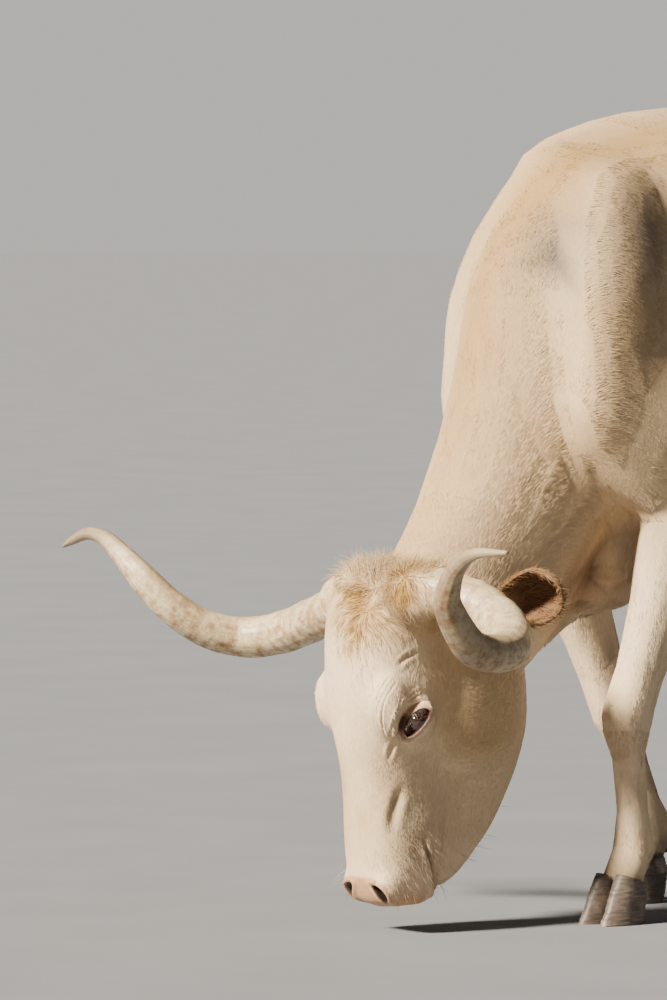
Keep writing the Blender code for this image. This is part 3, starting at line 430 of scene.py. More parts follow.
EYE = (0.0948, -0.0820, 0.284)       # eyeball centre: across, out, along
EYE_FACING = (0.93, 0.36, 0.02)
EYE_SLOT = (-0.18, 0.70, 0.69)       # from the outer corner towards the inner one
HORN_LINES = {
    "left": (
        (0.110, -0.052, 0.536, 0.0340), (0.165, -0.071, 0.545, 0.0370), (0.229, -0.105, 0.524, 0.0386),
        (0.267, -0.115, 0.504, 0.0386), (0.319, -0.103, 0.485, 0.0369), (0.376, -0.067, 0.469, 0.0336),
        (0.426, -0.007, 0.463, 0.0296), (0.446, 0.055, 0.477, 0.0275), (0.472, 0.113, 0.538, 0.0223),
        (0.498, 0.128, 0.574, 0.0180), (0.532, 0.135, 0.604, 0.0135), (0.583, 0.139, 0.624, 0.0088),
        (0.668, 0.141, 0.629, 0.0030),
    ),
    "right": (
        (0.080, -0.057, 0.520, 0.0330), (0.120, -0.089, 0.510, 0.0348), (0.209, -0.107, 0.489, 0.0350),
        (0.328, -0.112, 0.458, 0.0345), (0.392, -0.077, 0.447, 0.0330), (0.418, -0.017, 0.462, 0.0302),
        (0.436, 0.038, 0.499, 0.0270), (0.463, 0.073, 0.543, 0.0235), (0.502, 0.088, 0.579, 0.0178),
        (0.549, 0.093, 0.605, 0.0130), (0.593, 0.096, 0.611, 0.0102), (0.638, 0.099, 0.598, 0.0070),
        (0.663, 0.101, 0.588, 0.0028),
    ),
}
# each ear's root, tip and the way its cup faces: across, ahead, up
EARS = {
    "left": ((0.132, -0.190, 0.502), (0.322, -0.206, 0.553), (0.10, 0.90, -0.40)),
    "right": ((-0.122, -0.172, 0.506), (-0.292, -0.240, 0.500), (-0.62, 0.50, -0.58)),
}
# along the ear: share, half width, half angle of the section in degrees, thickness, root to tip
EAR = (
    (0.00, 0.024, 150, 0.016), (0.10, 0.027, 145, 0.013), (0.22, 0.034, 134, 0.010),
    (0.38, 0.041, 116, 0.008), (0.55, 0.045, 98, 0.007), (0.72, 0.041, 84, 0.006),
    (0.86, 0.031, 72, 0.006), (0.95, 0.018, 62, 0.005), (1.00, 0.006, 55, 0.004),
)


# Clay: the same lofts and muscles as in the solids

def torso_clay(clay):
    stations = []
    for y, top, bottom, width, power, taper, roll in TORSO:
        middle = (top + bottom) / 2
        side = Matrix.Rotation(math.radians(roll), 3, "Y") @ LEFT
        dorsal = Matrix.Rotation(math.radians(roll), 3, "Y") @ UP
        half = (top - bottom) / 2
        across = -math.sin(math.radians(roll)) * half
        stations.append([across, y, middle, *side, *dorsal, width, half, half, power, taper])
    loft("torso_clay", stations, clay)


def neck_clay(name, table, clay):
    stations = []
    for crest_y, crest_z, under_y, under_z, width, shift, taper in table:
        crest, under = Vector((0, crest_y, crest_z)), Vector((0, under_y, under_z))
        dorsal = unit(crest - under)
        half = (crest - under).length / 2
        middle = (crest + under) / 2 + shift * LEFT
        yaw = -HEAD_YAW * min(1.0, abs(shift) / 0.04)
        stations.append([*middle, *turned(LEFT, yaw), *turned(dorsal, yaw), width, half, half, 2.1, taper])
    loft(name, stations, clay)


def leg_clay(name, joints, profile, clay):
    rows = []
    for joint, share, width, front, back in profile:
        start = Vector(joints[max(joint - 1, 0)])
        centre = start.lerp(Vector(joints[joint]), share)
        rows.append((*centre, width, front, back))
    loft(name + "_clay", limb_stations(rows), clay, steps=4)


def head_loft(name, table, clay):
    stations = []
    for along, front, back, width, power, taper in table:
        half = (front - back) / 2
        centre = on_head(0, (front + back) / 2, along)
        stations.append([*centre, *HEAD_SIDE, *FACE, width, half, half, power, taper])
    loft(name, stations, clay)


def body_muscles(clay):
    for side in (1, -1):
        raise_z = 0.012 if side < 0 else -0.010
        muscle("shoulder_blade", (side * 0.112, 0.010, 1.030 + raise_z), (0.062, 0.115, 0.225), clay,
               along=(-side * 0.30, 0.36, 1), lean=(1, 0, 0))
        muscle("shoulder_point", (side * 0.150, -0.045, 0.835), (0.050, 0.080, 0.110), clay)
        muscle("upper_arm", (side * 0.152, 0.075, 0.790), (0.070, 0.140, 0.150), clay,
               along=(0, 0.5, 1))
        muscle("hook_bone", (side * 0.190, 0.885, 1.222), (0.062, 0.110, 0.058), clay)
        muscle("rump", (side * 0.118, 1.010, 1.165), (0.110, 0.190, 0.125), clay, along=(0, 0.3, 1))
        muscle("pin_bone", (side * 0.095, 1.180, 1.165), (0.040, 0.050, 0.055), clay)
        muscle("flank_fold", (side * 0.175, 0.800, 0.720), (0.060, 0.110, 0.150), clay)
    muscle("far_back", (-0.115, 0.240, 1.240), (0.075, 0.250, 0.056), clay, along=(0, -0.18, 1))
    muscle("brisket", (0, 0.045, 0.570), (0.088, 0.130, 0.085), clay, along=(0, 0.2, 1))


def head_muscles(clay):
    for side in (1, -1):
        muscle("brow", on_side((0.075, -0.048, 0.252), side), (0.035, 0.040, 0.056), clay, along=NOSE,
               lean=HEAD_SIDE)
        muscle("orbit", on_side((0.086, -0.084, 0.284), side), (0.027, 0.036, 0.040), clay, along=NOSE,
               lean=HEAD_SIDE)
        muscle("cheek", on_side((0.056, -0.200, 0.275), side), (0.044, 0.100, 0.115), clay, along=NOSE,
               lean=HEAD_SIDE)
        muscle("ear_root", on_side((0.086, -0.205, 0.120), side), (0.042, 0.040, 0.040), clay)
        muscle("nostril_wing", on_side((0.043, -0.028, 0.540), side), (0.026, 0.030, 0.034), clay,
               along=NOSE, lean=HEAD_SIDE)
        muscle("upper_lip", on_side((0.038, -0.075, 0.548), side), (0.028, 0.044, 0.034), clay,
               along=NOSE, lean=HEAD_SIDE)
    for place, reach in (((0.122, -0.088, 0.082), 0.070), ((-0.094, -0.098, 0.104), 0.050)):
        muscle("horn_root", on_head(*place), (0.047, 0.045, reach), clay, along=HEAD_SIDE, lean=NOSE)
    muscle("poll_knob", on_head(0, -0.088, 0.066), (0.080, 0.055, 0.032), clay, along=NOSE,
           lean=HEAD_SIDE)


def new_clay(name):
    clay = bpy.data.collections.new(name)
    bpy.context.scene.collection.children.link(clay)
    return clay


def body_clay(clay):
    torso_clay(clay)
    neck_clay("neck_clay", NECK, clay)
    neck_clay("dewlap_clay", DEWLAP, clay)
    for name, joints in LEGS.items():
        leg_clay(name, joints, FORELEG if name.startswith("fore") else HIND_LEG, clay)
    body_muscles(clay)


def head_clay(clay):
    head_loft("skull", SKULL, clay)
    head_loft("jaw", JAW, clay)
    head_muscles(clay)


# Clay into skin

def applied(obj):
    """The object with its modifiers made part of its mesh."""
    bpy.context.view_layer.update()
    graph = bpy.context.evaluated_depsgraph_get()
    mesh = bpy.data.meshes.new_from_object(obj.evaluated_get(graph))
    obj.modifiers.clear()
    obj.data = mesh
    obj.data.name = obj.name
    return obj


def joined(name, collection):
    """One mesh from all the pieces of a collection, which are then removed."""
    bm = bmesh.new()
    for obj in list(collection.objects):
        bm.from_mesh(obj.data)
        bpy.data.objects.remove(obj)
    return object_from(bm, name)


def fused(name, clay, voxel, rounds):
    """The pieces of clay as one smooth surface."""
    obj = joined(name, clay)
    remesh = obj.modifiers.new("Remesh", "REMESH")
    remesh.mode = "VOXEL"
    remesh.voxel_size = voxel
    if rounds:
        smooth = obj.modifiers.new("Smooth", "SMOOTH")
        smooth.factor = 0.5
        smooth.iterations = rounds
    return applied(obj)


def weighted(obj, weights):
    """A vertex group from a weight from 0 to 1 at each point, in sixteen levels."""
    group = obj.vertex_groups.new(name="weight")
    levels = np.rint(np.clip(weights, 0, 1) * 16).astype(int)
    for level in range(1, 17):
        group.add(np.flatnonzero(levels == level).tolist(), level / 16, "REPLACE")
    return "weight"


def softened(obj, weights, rounds):
    """Further smoothing, by a weight from 0 to 1 at each point."""
    smooth = obj.modifiers.new("Smooth", "SMOOTH")
    smooth.factor = 0.5
    smooth.iterations = rounds
    smooth.vertex_group = weighted(obj, weights)
    applied(obj)
    obj.vertex_groups.clear()


def vectors_of(items, name):
    """One vector of each vertex or face, as rows."""
    flat = np.empty(len(items) * 3, np.float32)
    items.foreach_get(name, flat)
    return flat.reshape(-1, 3).astype(float)


def points_of(obj):
    return vectors_of(obj.data.vertices, "co")


def normals_of(obj):
    return vectors_of(obj.data.vertices, "normal")


def put_points(obj, points):
    obj.data.vertices.foreach_set("co", points.astype(np.float32).ravel())
    obj.data.update()


def boolean(obj, other, operation="DIFFERENCE"):
    """A Boolean made part of the mesh. The other object is used up."""
    modifier = obj.modifiers.new("Cut", "BOOLEAN")
    modifier.operation = operation
    modifier.solver = "MANIFOLD"
    modifier.object = other
    applied(obj)
    bpy.data.objects.remove(other)


NECK_HEAD_POINT = Vector((-0.040, -0.215, 0.540))        # the plane where the head joins the neck
NECK_HEAD_NORMAL = Vector((0.080, -0.470, -0.880))
OVERLAP = 0.03           # how far the head runs into the neck before they are fused


def head_room(shift):
    """The space that the head takes up, beyond the plane where it joins the neck."""
    n = unit(NECK_HEAD_NORMAL)
    down = unit(Vector((0, 0.880, -0.470)))
    side = n.cross(down)
    bm = bmesh.new()
    bmesh.ops.create_cube(bm, size=2.0)
    turn = Matrix((side, unit(down), n)).transposed().to_4x4()
    centre = NECK_HEAD_POINT + n * (0.40 + shift) - down * 0.100
    bm.transform(Matrix.Translation(centre) @ turn @ Matrix.Diagonal((0.45, 0.30, 0.40, 1.0)))
    return face_outwards(object_from(bm, "room"))


def ear_line(word):
    """The root and the tip of an ear."""
    root, tip = (beside_head(*place) for place in EARS[word][:2])
    return root, tip


def ear_cup(word):
    """The way that the cup of an ear faces."""
    across, ahead, height = EARS[word][2]
    return across * HEAD_SIDE + ahead * HEAD_AHEAD + height * UP


def along_ear(points, word):
    """The share of the way out along an ear, the distance from it, and the way out from its line."""
    root, tip = (np.array(place) for place in ear_line(word))
    along = tip - root
    share = (points - root) @ along / (along @ along)
    off = np.linalg.norm(points - root - np.clip(share, 0, 1)[:, None] * along, axis=1)
    return share, off, points - root - share[:, None] * along


def ear_clay(word, collection):
    """A bent, tapering sheet round its own axis, thick at the root."""
    root, tip = ear_line(word)
    along = unit(tip - root)
    cup = ear_cup(word)
    cup = unit(cup - along * cup.dot(along))
    wide = along.cross(cup)
    arc, rows = 24, spline(EAR, 8)
    vertices = []
    for share, half, angle, thick in rows:
        spread = math.radians(angle)
        bend = 0.018 * math.sin(math.pi * share) - 0.010 * share
        centre = root.lerp(tip, share) - cup * bend
        radius = half / max(math.sin(min(spread, math.pi / 2)), 0.5)
        lift = radius * math.cos(min(spread, math.pi / 2))
        outer = np.linspace(-spread, spread, arc)
        for a, r in [(a, radius) for a in outer] + [(a, max(radius - thick, 0.006)) for a in outer[::-1]]:
            vertices.append(centre + wide * math.sin(a) * r - cup * (math.cos(a) * r - lift))
    around = 2 * arc
    faces = ring_faces(len(rows), around)
    for start in (0, (len(rows) - 1) * around):
        for k in range(arc - 1):
            faces.append((start + k, start + k + 1, start + around - 2 - k, start + around - 1 - k))
    face_outwards(mesh_object("ear", vertices, faces, collection))


COLLARS = {"left": 0.198, "right": 0.128}    # how far across the hide reaches out along each horn


def horn_collar(word, collection):
    """Hide over the root of a horn, thinning to its edge."""
    side = 1 if word == "left" else -1
    rows = [row for row in spline(HORN_LINES[word], 8).tolist() if row[0] < COLLARS[word]]
    path = []
    for i, (across, ahead, height, radius) in enumerate(rows[::3]):
        thick = 0.0055 - 0.0040 * (3 * i / len(rows)) ** 2
        path.append((*beside_head(side * across, ahead, height), radius + thick))
    rounded_tube("collar", path, 32, 3, collection)


UDDER = (0.0, 0.905, 0.615)          # the middle of the bag


def udder_clay(collection):
    muscle("bag", UDDER, (0.088, 0.130, 0.088), collection, along=(0, 0.15, 1))
    for side in (1, -1):
        for y in (0.850, 0.950):
            path = [(side * 0.040, y, 0.580, 0.016), (side * 0.044, y, 0.540, 0.0125),
                    (side * 0.046, y, 0.505, 0.0115), (side * 0.047, y, 0.482, 0.0085)]
            rounded_tube("teat", path, 16, 5, collection)


def ear_reach(points):
    """How far out along its ear each point lies, 0 at the root, for the nearer ear."""
    best = np.full(len(points), -1.0)
    for word in EARS:
        share, off, _ = along_ear(points, word)
        best = np.where((off < 0.065) & (share > -0.15), np.maximum(best, share), best)
    return best


def tail_nearness(points):
    """1 close to the tail's line, away from the rump."""
    line = spline(TAIL_LINE, 6)[:, :3]
    away = np.min([distances(points, place) for place in line], axis=0)
    return (away < 0.05) & (points[:, 1] > 1.20)


def headness(points):
    """How far each point lies beyond the plane where the head joins the neck, in metres."""
    n = np.array(unit(NECK_HEAD_NORMAL))
    beyond = (points - np.array(NECK_HEAD_POINT)) @ n
    return np.where(points[:, 1] < -0.09, beyond, -1.0)


def build_skin():
    """Body and head fused as in the solids, joined into one surface and drawn in by the coat."""
    clay = new_clay("body_clay")
    body_clay(clay)
    head_clay(clay)
    body = fused("body", clay, BODY_VOXEL, 10)
    points = points_of(body)
    softened(body, np.clip((points[:, 2] - 0.62) / 0.12, 0, 1) * (points[:, 1] > -0.28), 50)
    clay = new_clay("head_clay")
    neck_clay("neck_clay", NECK[4:], clay)
    head_clay(clay)
    head = fused("head", clay, HEAD_VOXEL, 28)
    boolean(head, head_room(-OVERLAP), "INTERSECT")
    boolean(body, head_room(0))
    flesh = new_clay("flesh")
    for obj in (body, head):
        bpy.context.scene.collection.objects.unlink(obj)
        flesh.objects.link(obj)
    for word in EARS:
        ear_clay(word, flesh)
        horn_collar(word, flesh)
    rounded_tube("tail", TAIL_LINE, 24, 6, flesh)
    udder_clay(flesh)
    skin = fused("skin", flesh, SKIN_VOXEL, 0)
    keep_largest(skin)
    points = points_of(skin)
    ear = ear_reach(points)
    beyond = headness(points)
    seam = bump(beyond + 0.5 * OVERLAP, 0.030)
    ear_root = bump(ear - 0.02, 0.10) * (ear > -0.2)
    tail_root = bump(distances(points, (0, 1.20, 1.235)), 0.045)
    bag = (points[:, 1] > 0.72) & (points[:, 1] < 1.08) & (np.abs(points[:, 0]) < 0.115)
    udder_root = bump(points[:, 2] - UDDER[2], 0.035) * bag
    softened(skin, seam + ear_root + tail_root + udder_root, 40)
    softened(skin, np.where(ear > 0.15, 0.55, 0.8), 3)
    points = points_of(skin)
    depth = np.where(ear > 0.12, 0.0004, COAT_DEPTH)
    put_points(skin, points - normals_of(skin) * depth[:, None])
    return skin


def keep_largest(obj):
    """Loose scraps inside the body taken away."""
    bm = bmesh.new()
    bm.from_mesh(obj.data)
    bm.verts.ensure_lookup_table()
    seen = np.zeros(len(bm.verts), bool)
    best = []
    for start in bm.verts:
        if seen[start.index]:
            continue
        seen[start.index] = True
        piece, front = [start], [start]
        while front:
            vertex = front.pop()
            for edge in vertex.link_edges:
                other = edge.other_vert(vertex)
                if not seen[other.index]:
                    seen[other.index] = True
                    front.append(other)
                    piece.append(other)
        if len(piece) > len(best):
            best = piece
    kept = set(v.index for v in best)
    if len(kept) < len(bm.verts):
        bmesh.ops.delete(bm, geom=[v for v in bm.verts if v.index not in kept], context="VERTS")
        bm.to_mesh(obj.data)
    bm.free()


def thin_body(skin):
    """Fewer faces behind the head, where the form is broad."""
    points = points_of(skin)
    keep = rise(headness(points), -0.05, 0.0)
    keep = np.maximum(keep, ear_reach(points) > 0.0)
    decimate = skin.modifiers.new("Decimate", "DECIMATE")
    decimate.ratio = BODY_SHARE
    decimate.vertex_group = weighted(skin, 1 - keep)
    applied(skin)
    skin.vertex_groups.clear()


def refined(obj, centres, reach):
    """Faces within reach of any of the centres cut in four."""
    middles = vectors_of(obj.data.polygons, "center")
    near = np.zeros(len(middles), bool)
    for centre in centres:
        near |= distances(middles, centre) < reach
    bm = bmesh.new()
    bm.from_mesh(obj.data)
    bm.faces.ensure_lookup_table()
    edges = {edge for i in np.flatnonzero(near) for edge in bm.faces[i].edges}
    bmesh.ops.subdivide_edges(bm, edges=list(edges), cuts=1, use_grid_fill=True)
    bm.to_mesh(obj.data)
    bm.free()
    points = points_of(obj)
    soft = np.zeros(len(points))
    for centre in centres:
        soft = np.maximum(soft, rise(reach - distances(points, centre), 0, 0.01))
    softened(obj, soft, 2)


def paths_near(points, path):
    """Each point's distance to a path of places, and how far along the path it lies, 0 to 1."""
    path = np.array(path, float)
    best = np.full(len(points), 9.0)
    share = np.zeros(len(points))
    for i in range(len(path) - 1):
        run = path[i + 1] - path[i]
        t = np.clip((points - path[i]) @ run / (run @ run), 0, 1)
        away = np.linalg.norm(points - path[i] - t[:, None] * run, axis=1)
        closer = away < best
        best = np.where(closer, away, best)
        share = np.where(closer, (i + t) / (len(path) - 1), share)
    return best, share


def fold(points, path, width, depth):
    """Movement along the normal for a groove with soft ridges beside it, fading at both ends."""
    places = np.array(path, float)
    low, high = places.min(axis=0) - 4 * width, places.max(axis=0) + 4 * width
    near = np.flatnonzero(np.all((points > low) & (points < high), axis=1))
    move = np.zeros(len(points))
    away, share = paths_near(points[near], spline(places, 4))
    fade = np.sin(np.pi * np.clip(share, 0.02, 0.98)) ** 0.6
    move[near] = fade * depth * (0.22 * bump(away - 1.9 * width, width) - bump(away, width))
    return move


def eye_frame(points, side):
    """Distances along the eye's slot, up the lids, and out from the ball, for one side."""
    frame = np.array([EYE_SLOT, -np.cross(EYE_FACING, EYE_SLOT), EYE_FACING])
    frame = units(frame)
    local = in_head(points) * np.array([side, 1, 1]) - np.array(EYE)
    return (local @ frame.T).T


LID_HALF = 0.0262                     # half the length of the slot between the lids
LID_UP, LID_DOWN = 0.0165, 0.0062
LID_SHIFT = (0.0040, 0.0015)          # along the slot and up the lids, from the middle of the ball
LID_POWER = 2.2
LID_OUT = 0.0030                      # how far the lids stand off the ball


def slot_distance(length, height):
    """Signed distance to the rim of the slot between the lids, below 0 inside it."""
    length, height = length - LID_SHIFT[0], height - LID_SHIFT[1]
    reach = np.where(height > 0, LID_UP, LID_DOWN)
    wide, tall, power = np.abs(length) / LID_HALF, np.abs(height) / reach, LID_POWER
    form = (wide ** power + tall ** power) ** (1 / power)
    steep = np.hypot(wide ** (power - 1) / LID_HALF, tall ** (power - 1) / reach)
    slope = steep * np.maximum(form, 1e-6) ** (1 - power)
    return (form - 1) / np.maximum(slope, 12.0)


def lid_dome(length, height):
    """How far out from the middle of the ball the lids lie."""
    reach = (EYEBALL_RADIUS + LID_OUT) ** 2
    return np.sqrt(np.maximum(reach - (0.62 * length) ** 2 - height ** 2, 1e-5))


def sculpt_eye(skin, side):
    """Lids over the ball with their rims and creases, and the slot between them."""
    points = points_of(skin)
    local = eye_frame(points, side)
    away = np.hypot(local[0], local[1])
    near = np.flatnonzero((away < 0.060) & (local[2] > -0.005))
    length, height, depth = local[:, near]
    away, rim = away[near], slot_distance(length, height)
    on_lids = 1 - rise(away, 0.026, 0.047)
    target = depth * (1 - on_lids) + lid_dome(length, height) * on_lids
    target += 0.0006 * bump(rim - 0.0022, 0.0020)
    target -= 0.0034 * bump(rim - 0.0072, 0.0014) * rise(height, 0.000, 0.006)
    target += 0.0016 * bump(rim - 0.0135, 0.0040) * rise(height, -0.004, 0.006)
    target -= 0.0012 * bump(rim - 0.0080, 0.0020) * (height < 0) * on_lids
    inside = (EYEBALL_RADIUS - 0.0045) ** 2 - np.minimum(away, EYEBALL_RADIUS - 0.005) ** 2
    inside = np.sqrt(np.maximum(inside, 1e-6))
    hole = 1 - rise(rim, -0.0012, 0.0006)
    target = target * (1 - hole) + np.minimum(inside, target) * hole
    facing = np.array(head_vector(EYE_FACING, side))
    points[near] += (target - depth)[:, None] * facing
    put_points(skin, points)


# places of the muzzle, as on_head takes them
NOSTRIL = (0.044, -0.005, 0.551)
LIP = (0.055, -0.095, 0.520)
CHIN = (0, -0.11, 0.565)


def nostril_form(points, side):
    """How far each point is from a nostril's bent slot, 1 at its edge, and the way inwards."""
    inward = np.array(head_vector((-0.42, -0.86, -0.10), side))
    tilt = np.array(head_vector((0.42, -0.36, 0.85), side))
    tilt = tilt - inward * (tilt @ inward)
    tilt /= np.linalg.norm(tilt)
    across = np.cross(inward, tilt) * side
    local = points - np.array(on_side(NOSTRIL, side))
    beside, down, inside = local @ across, local @ tilt, local @ inward
    near = (np.abs(beside) < 0.03) & (np.abs(down) < 0.035) & (np.abs(inside) < 0.045)
    bent = beside - 14.0 * down ** 2 + 0.002
    return np.where(near, np.hypot(bent / 0.0102, down / 0.0205), 9.0), inward


def sculpt_nostril(skin, side):
    """A nostril pressed in, with a raised rim."""
    points = points_of(skin)
    form, inward = nostril_form(points, side)
    move = 0.026 * (1 - rise(form, 0.35, 1.05)) - 0.0026 * bump(form - 1.30, 0.28)
    points += move[:, None] * inward
    put_points(skin, points)


# folds of the face: places across, out and along, width, and depth, below 0 for a ridge
HEAD_FOLDS = (
    (((0.094, -0.060, 0.190), (0.097, -0.073, 0.181), (0.102, -0.096, 0.174)), 0.0036, 0.0052),
    (((0.096, -0.068, 0.193), (0.092, -0.040, 0.206), (0.091, -0.021, 0.224), (0.084, -0.011, 0.245),
      (0.075, -0.012, 0.268), (0.064, -0.021, 0.295)), 0.0019, 0.0032),
    (((0.098, -0.054, 0.210), (0.101, -0.032, 0.227), (0.098, -0.021, 0.243), (0.092, -0.017, 0.262),
      (0.083, -0.022, 0.288), (0.070, -0.033, 0.306)), 0.0019, 0.0036),
    (((0.108, -0.052, 0.238), (0.108, -0.041, 0.256), (0.103, -0.034, 0.272), (0.096, -0.035, 0.288)),
     0.0024, 0.0024),
    (((0.098, -0.044, 0.292), (0.080, -0.048, 0.307), (0.069, -0.045, 0.322), (0.063, -0.041, 0.338)),
     0.0040, 0.0052),
    (((0.078, -0.031, 0.300), (0.069, -0.034, 0.314), (0.063, -0.036, 0.332)), 0.0020, 0.0024),
    (((0.062, -0.058, 0.388), (0.059, -0.049, 0.406), (0.058, -0.039, 0.428), (0.060, -0.030, 0.452)),
     0.0080, 0.0044),
    (((0.083, -0.112, 0.330), (0.076, -0.150, 0.378), (0.068, -0.144, 0.450), (0.068, -0.100, 0.492)),
     0.0130, -0.0046),
)

# wrinkles round the eye, over its upper lid: distance from the slot's middle and depth
EYE_RINGS = ((0.030, 0.0015), (0.0365, 0.0018), (0.043, 0.0012))


def from_mouth(out, along):
    """How far in front of the line of the mouth each point lies."""
    return out + 0.094 + 0.25 * (along - 0.512)


def sculpt_head(skin):
    """Lips, wrinkles over the eyes, cheek lines, brow folds and the veins of the face."""
    points, normals = points_of(skin), normals_of(skin)
    near = np.flatnonzero(headness(points) > 0.0)
    face = points[near]
    across, out, along = in_head(face).T
    move = np.zeros(len(face))
    mouth = from_mouth(out, along)
    lips = rise(along, 0.470, 0.500) * (np.abs(across) < 0.078)
    move -= 0.0060 * lips * bump(mouth, 0.0024)
    move += 0.0018 * lips * bump(np.abs(mouth) - 0.0075, 0.005)
    for side in (1, -1):
        length, height, depth = eye_frame(face, side)
        ring = np.hypot(length / 1.25, height)
        arc = (depth > 0) * rise(height, -0.012, 0.010) * (1 - rise(ring, 0.050, 0.055))
        for radius, strength in EYE_RINGS:
            move -= strength * arc * bump(ring - radius, 0.0013)
            move += 0.5 * strength * arc * bump(ring - radius - 0.0032, 0.0022)
        for places, width, depth in HEAD_FOLDS:
            move += fold(face, [on_side(place, side) for place in places], width, depth)
    points[near] += normals[near] * move[:, None]
    put_points(skin, points)


# folds of the body: places, width and depth
BODY_FOLDS = (
    (((0.10, -0.135, 0.62), (0.11, -0.085, 0.70), (0.12, -0.045, 0.80)), 0.010, 0.0050),
    (((0.08, -0.115, 0.56), (0.10, -0.060, 0.65), (0.115, -0.020, 0.74)), 0.009, 0.0050),
    (((0.07, -0.080, 0.52), (0.09, -0.030, 0.60), (0.10, 0.000, 0.68)), 0.009, 0.0060),
    (((0.125, -0.110, 0.74), (0.135, -0.080, 0.83), (0.140, -0.062, 0.92)), 0.011, 0.0040),
    (((0.05, -0.050, 0.49), (0.075, 0.000, 0.555), (0.085, 0.030, 0.62)), 0.008, 0.0055),
)


RIB_SPACING = 0.074
TENDON_BESIDE = 0.030    # the grooves of the tendons, beside and behind the middle of the cannon
TENDON_BEHIND = 0.012


def sculpt_body(skin):
    """Folds of neck and brisket, ribs, the hollows before hip and behind shoulder, knees and tendons."""
    points, normals = points_of(skin), normals_of(skin)
    move = np.zeros(len(points))
    for side in (1, -1):
        for path, width, depth in BODY_FOLDS:
            mirrored = [(side * x, y, z) for x, y, z in path]
            move += fold(points, mirrored, width, depth)
    x, y, z = points.T
    flank = span(y, 0.26, 0.34, 0.72, 0.80) * span(z, 0.66, 0.76, 1.10, 1.20)
    slant = y + 0.16 * (z - 0.9)
    move += 0.0009 * flank * np.cos(2 * math.pi * slant / RIB_SPACING)
    before_hip = bump(np.hypot((y - 0.80) / 0.085, (z - 1.14) / 0.080), 1.0)
    behind_shoulder = bump(np.hypot((y - 0.205) / 0.035, (z - 0.90) / 0.16), 1.0) * (np.abs(x) > 0.1)
    move -= 0.010 * before_hip + 0.006 * behind_shoulder
    wrinkles = 0.0012 * wavy(points, 0.018, 31)
    for joints in LEGS.values():
        knee, fetlock = Vector(joints[2]), Vector(joints[3])
        move += wrinkles * (distances(points, knee) < 0.09)
        for side in (-1, 1):
            beside = side * TENDON_BESIDE * LEFT - TENDON_BEHIND * FRONT
            path = [knee.lerp(fetlock, share) + beside for share in (0.12, 0.45, 0.80)]
            move += fold(points, path, 0.006, 0.0022)
    points += normals * move[:, None]
    put_points(skin, points)


def wavy(points, size, seed):
    """Smooth seeded noise, about -1 to 1, whose bumps are this large."""
    rng = np.random.default_rng(seed)
    total = np.zeros(len(points))
    for _ in range(14):
        direction = rng.normal(size=3)
        direction *= 2 * math.pi / (size * rng.uniform(1.2, 3.2) * np.linalg.norm(direction))
        total += np.sin(points @ direction + rng.uniform(0, 2 * math.pi))
    return total / 4.5


# Markings

CREAM = (0.64, 0.435, 0.235)
PALE = (0.78, 0.61, 0.41)
TAN = (0.38, 0.220, 0.070)
GINGER = (0.38, 0.205, 0.042)
# grey of smudges in the coat and over the feet, also used as painted shade by the near shoulder
GREY_AND_SHADE = (0.135, 0.098, 0.070)
# painted shade in dark brown, for the hollow before the foreleg, the creases of the face and the line of the
# mouth
PAINTED_SHADE_BROWN = (0.10, 0.048, 0.021)
PEACH = (0.50, 0.28, 0.135)
PINK = (0.42, 0.22, 0.145)
EAR_RIM = (0.21, 0.105, 0.030)
EAR_DARK = (0.13, 0.060, 0.024)
UDDER_PINK = (0.70, 0.48, 0.39)
# dark brown of lid rims and inner corners, also used as painted shade under the upper lid and in creases
LID_BROWN_AND_SHADE = (0.070, 0.022, 0.014)
# painted shade inside the nostrils
NOSTRIL_SHADE = (0.020, 0.010, 0.007)

# grey patches of the near and far shoulder and the flank: place, radii, strength
GREY_AND_SHADE_PATCHES = (
    # the first two, on the near shoulder, are painted shade in the dips before and behind the shoulder blade;
    # the rest are grey smudges
    ((0.078, -0.100, 1.075), (0.048, 0.060, 0.062), 0.95),
    ((0.155, 0.045, 1.100), (0.062, 0.060, 0.095), 0.95),
    ((0.185, -0.010, 0.960), (0.060, 0.070, 0.120), 0.32),
    ((-0.160, 0.020, 1.090), (0.060, 0.090, 0.070), 0.40),
    ((0.250, 0.420, 1.000), (0.090, 0.170, 0.140), 0.16),
    ((-0.250, 0.400, 0.980), (0.090, 0.170, 0.140), 0.16),
    ((0.150, 1.000, 0.820), (0.080, 0.120, 0.120), 0.14),
    ((-0.150, 0.960, 0.820), (0.080, 0.120, 0.120), 0.14),
)

# painted shade in the hollow between dewlap and foreleg, dark brown also from the folded skin there
THROAT = (0.078, -0.010, 0.550)      # the dark hollow between dewlap and foreleg, on her left
THROAT_RADII = (0.075, 0.095, 0.095)

# ginger patches of the poll: place across and along, reach each way, strength
POLL_PATCHES = (
    ((0.028, 0.092), (0.045, 0.026), 0.95),
    ((0.030, 0.134), (0.030, 0.034), 0.75),
    ((0.138, 0.066), (0.055, 0.040), 0.80),
    ((0.085, 0.120), (0.040, 0.035), 0.50),
)

# painted shade in the creases of the face: places, colour, reach and strength
PAINTED_CREASE_SHADE = (
    (((0.059, -0.049, 0.406), (0.058, -0.039, 0.428), (0.060, -0.032, 0.446)), PAINTED_SHADE_BROWN, 0.0055, 0.42),
    (((0.097, -0.066, 0.184), (0.100, -0.080, 0.178)), PAINTED_SHADE_BROWN, 0.0070, 0.48),
    (((0.092, -0.048, 0.298), (0.080, -0.048, 0.308)), LID_BROWN_AND_SHADE, 0.0050, 0.55),
)


def crest_line():
    """The line from the poll up the neck's crest and along the back to the tail."""
    neck = [(row[5], row[0], row[1]) for row in NECK[::-1]]
    return neck + [(0, row[0], row[1]) for row in TORSO[3:]]


def mixed(colours, other, share):
    share = np.clip(share, 0, 1)[:, None]
    return colours * (1 - share) + np.array(other) * share


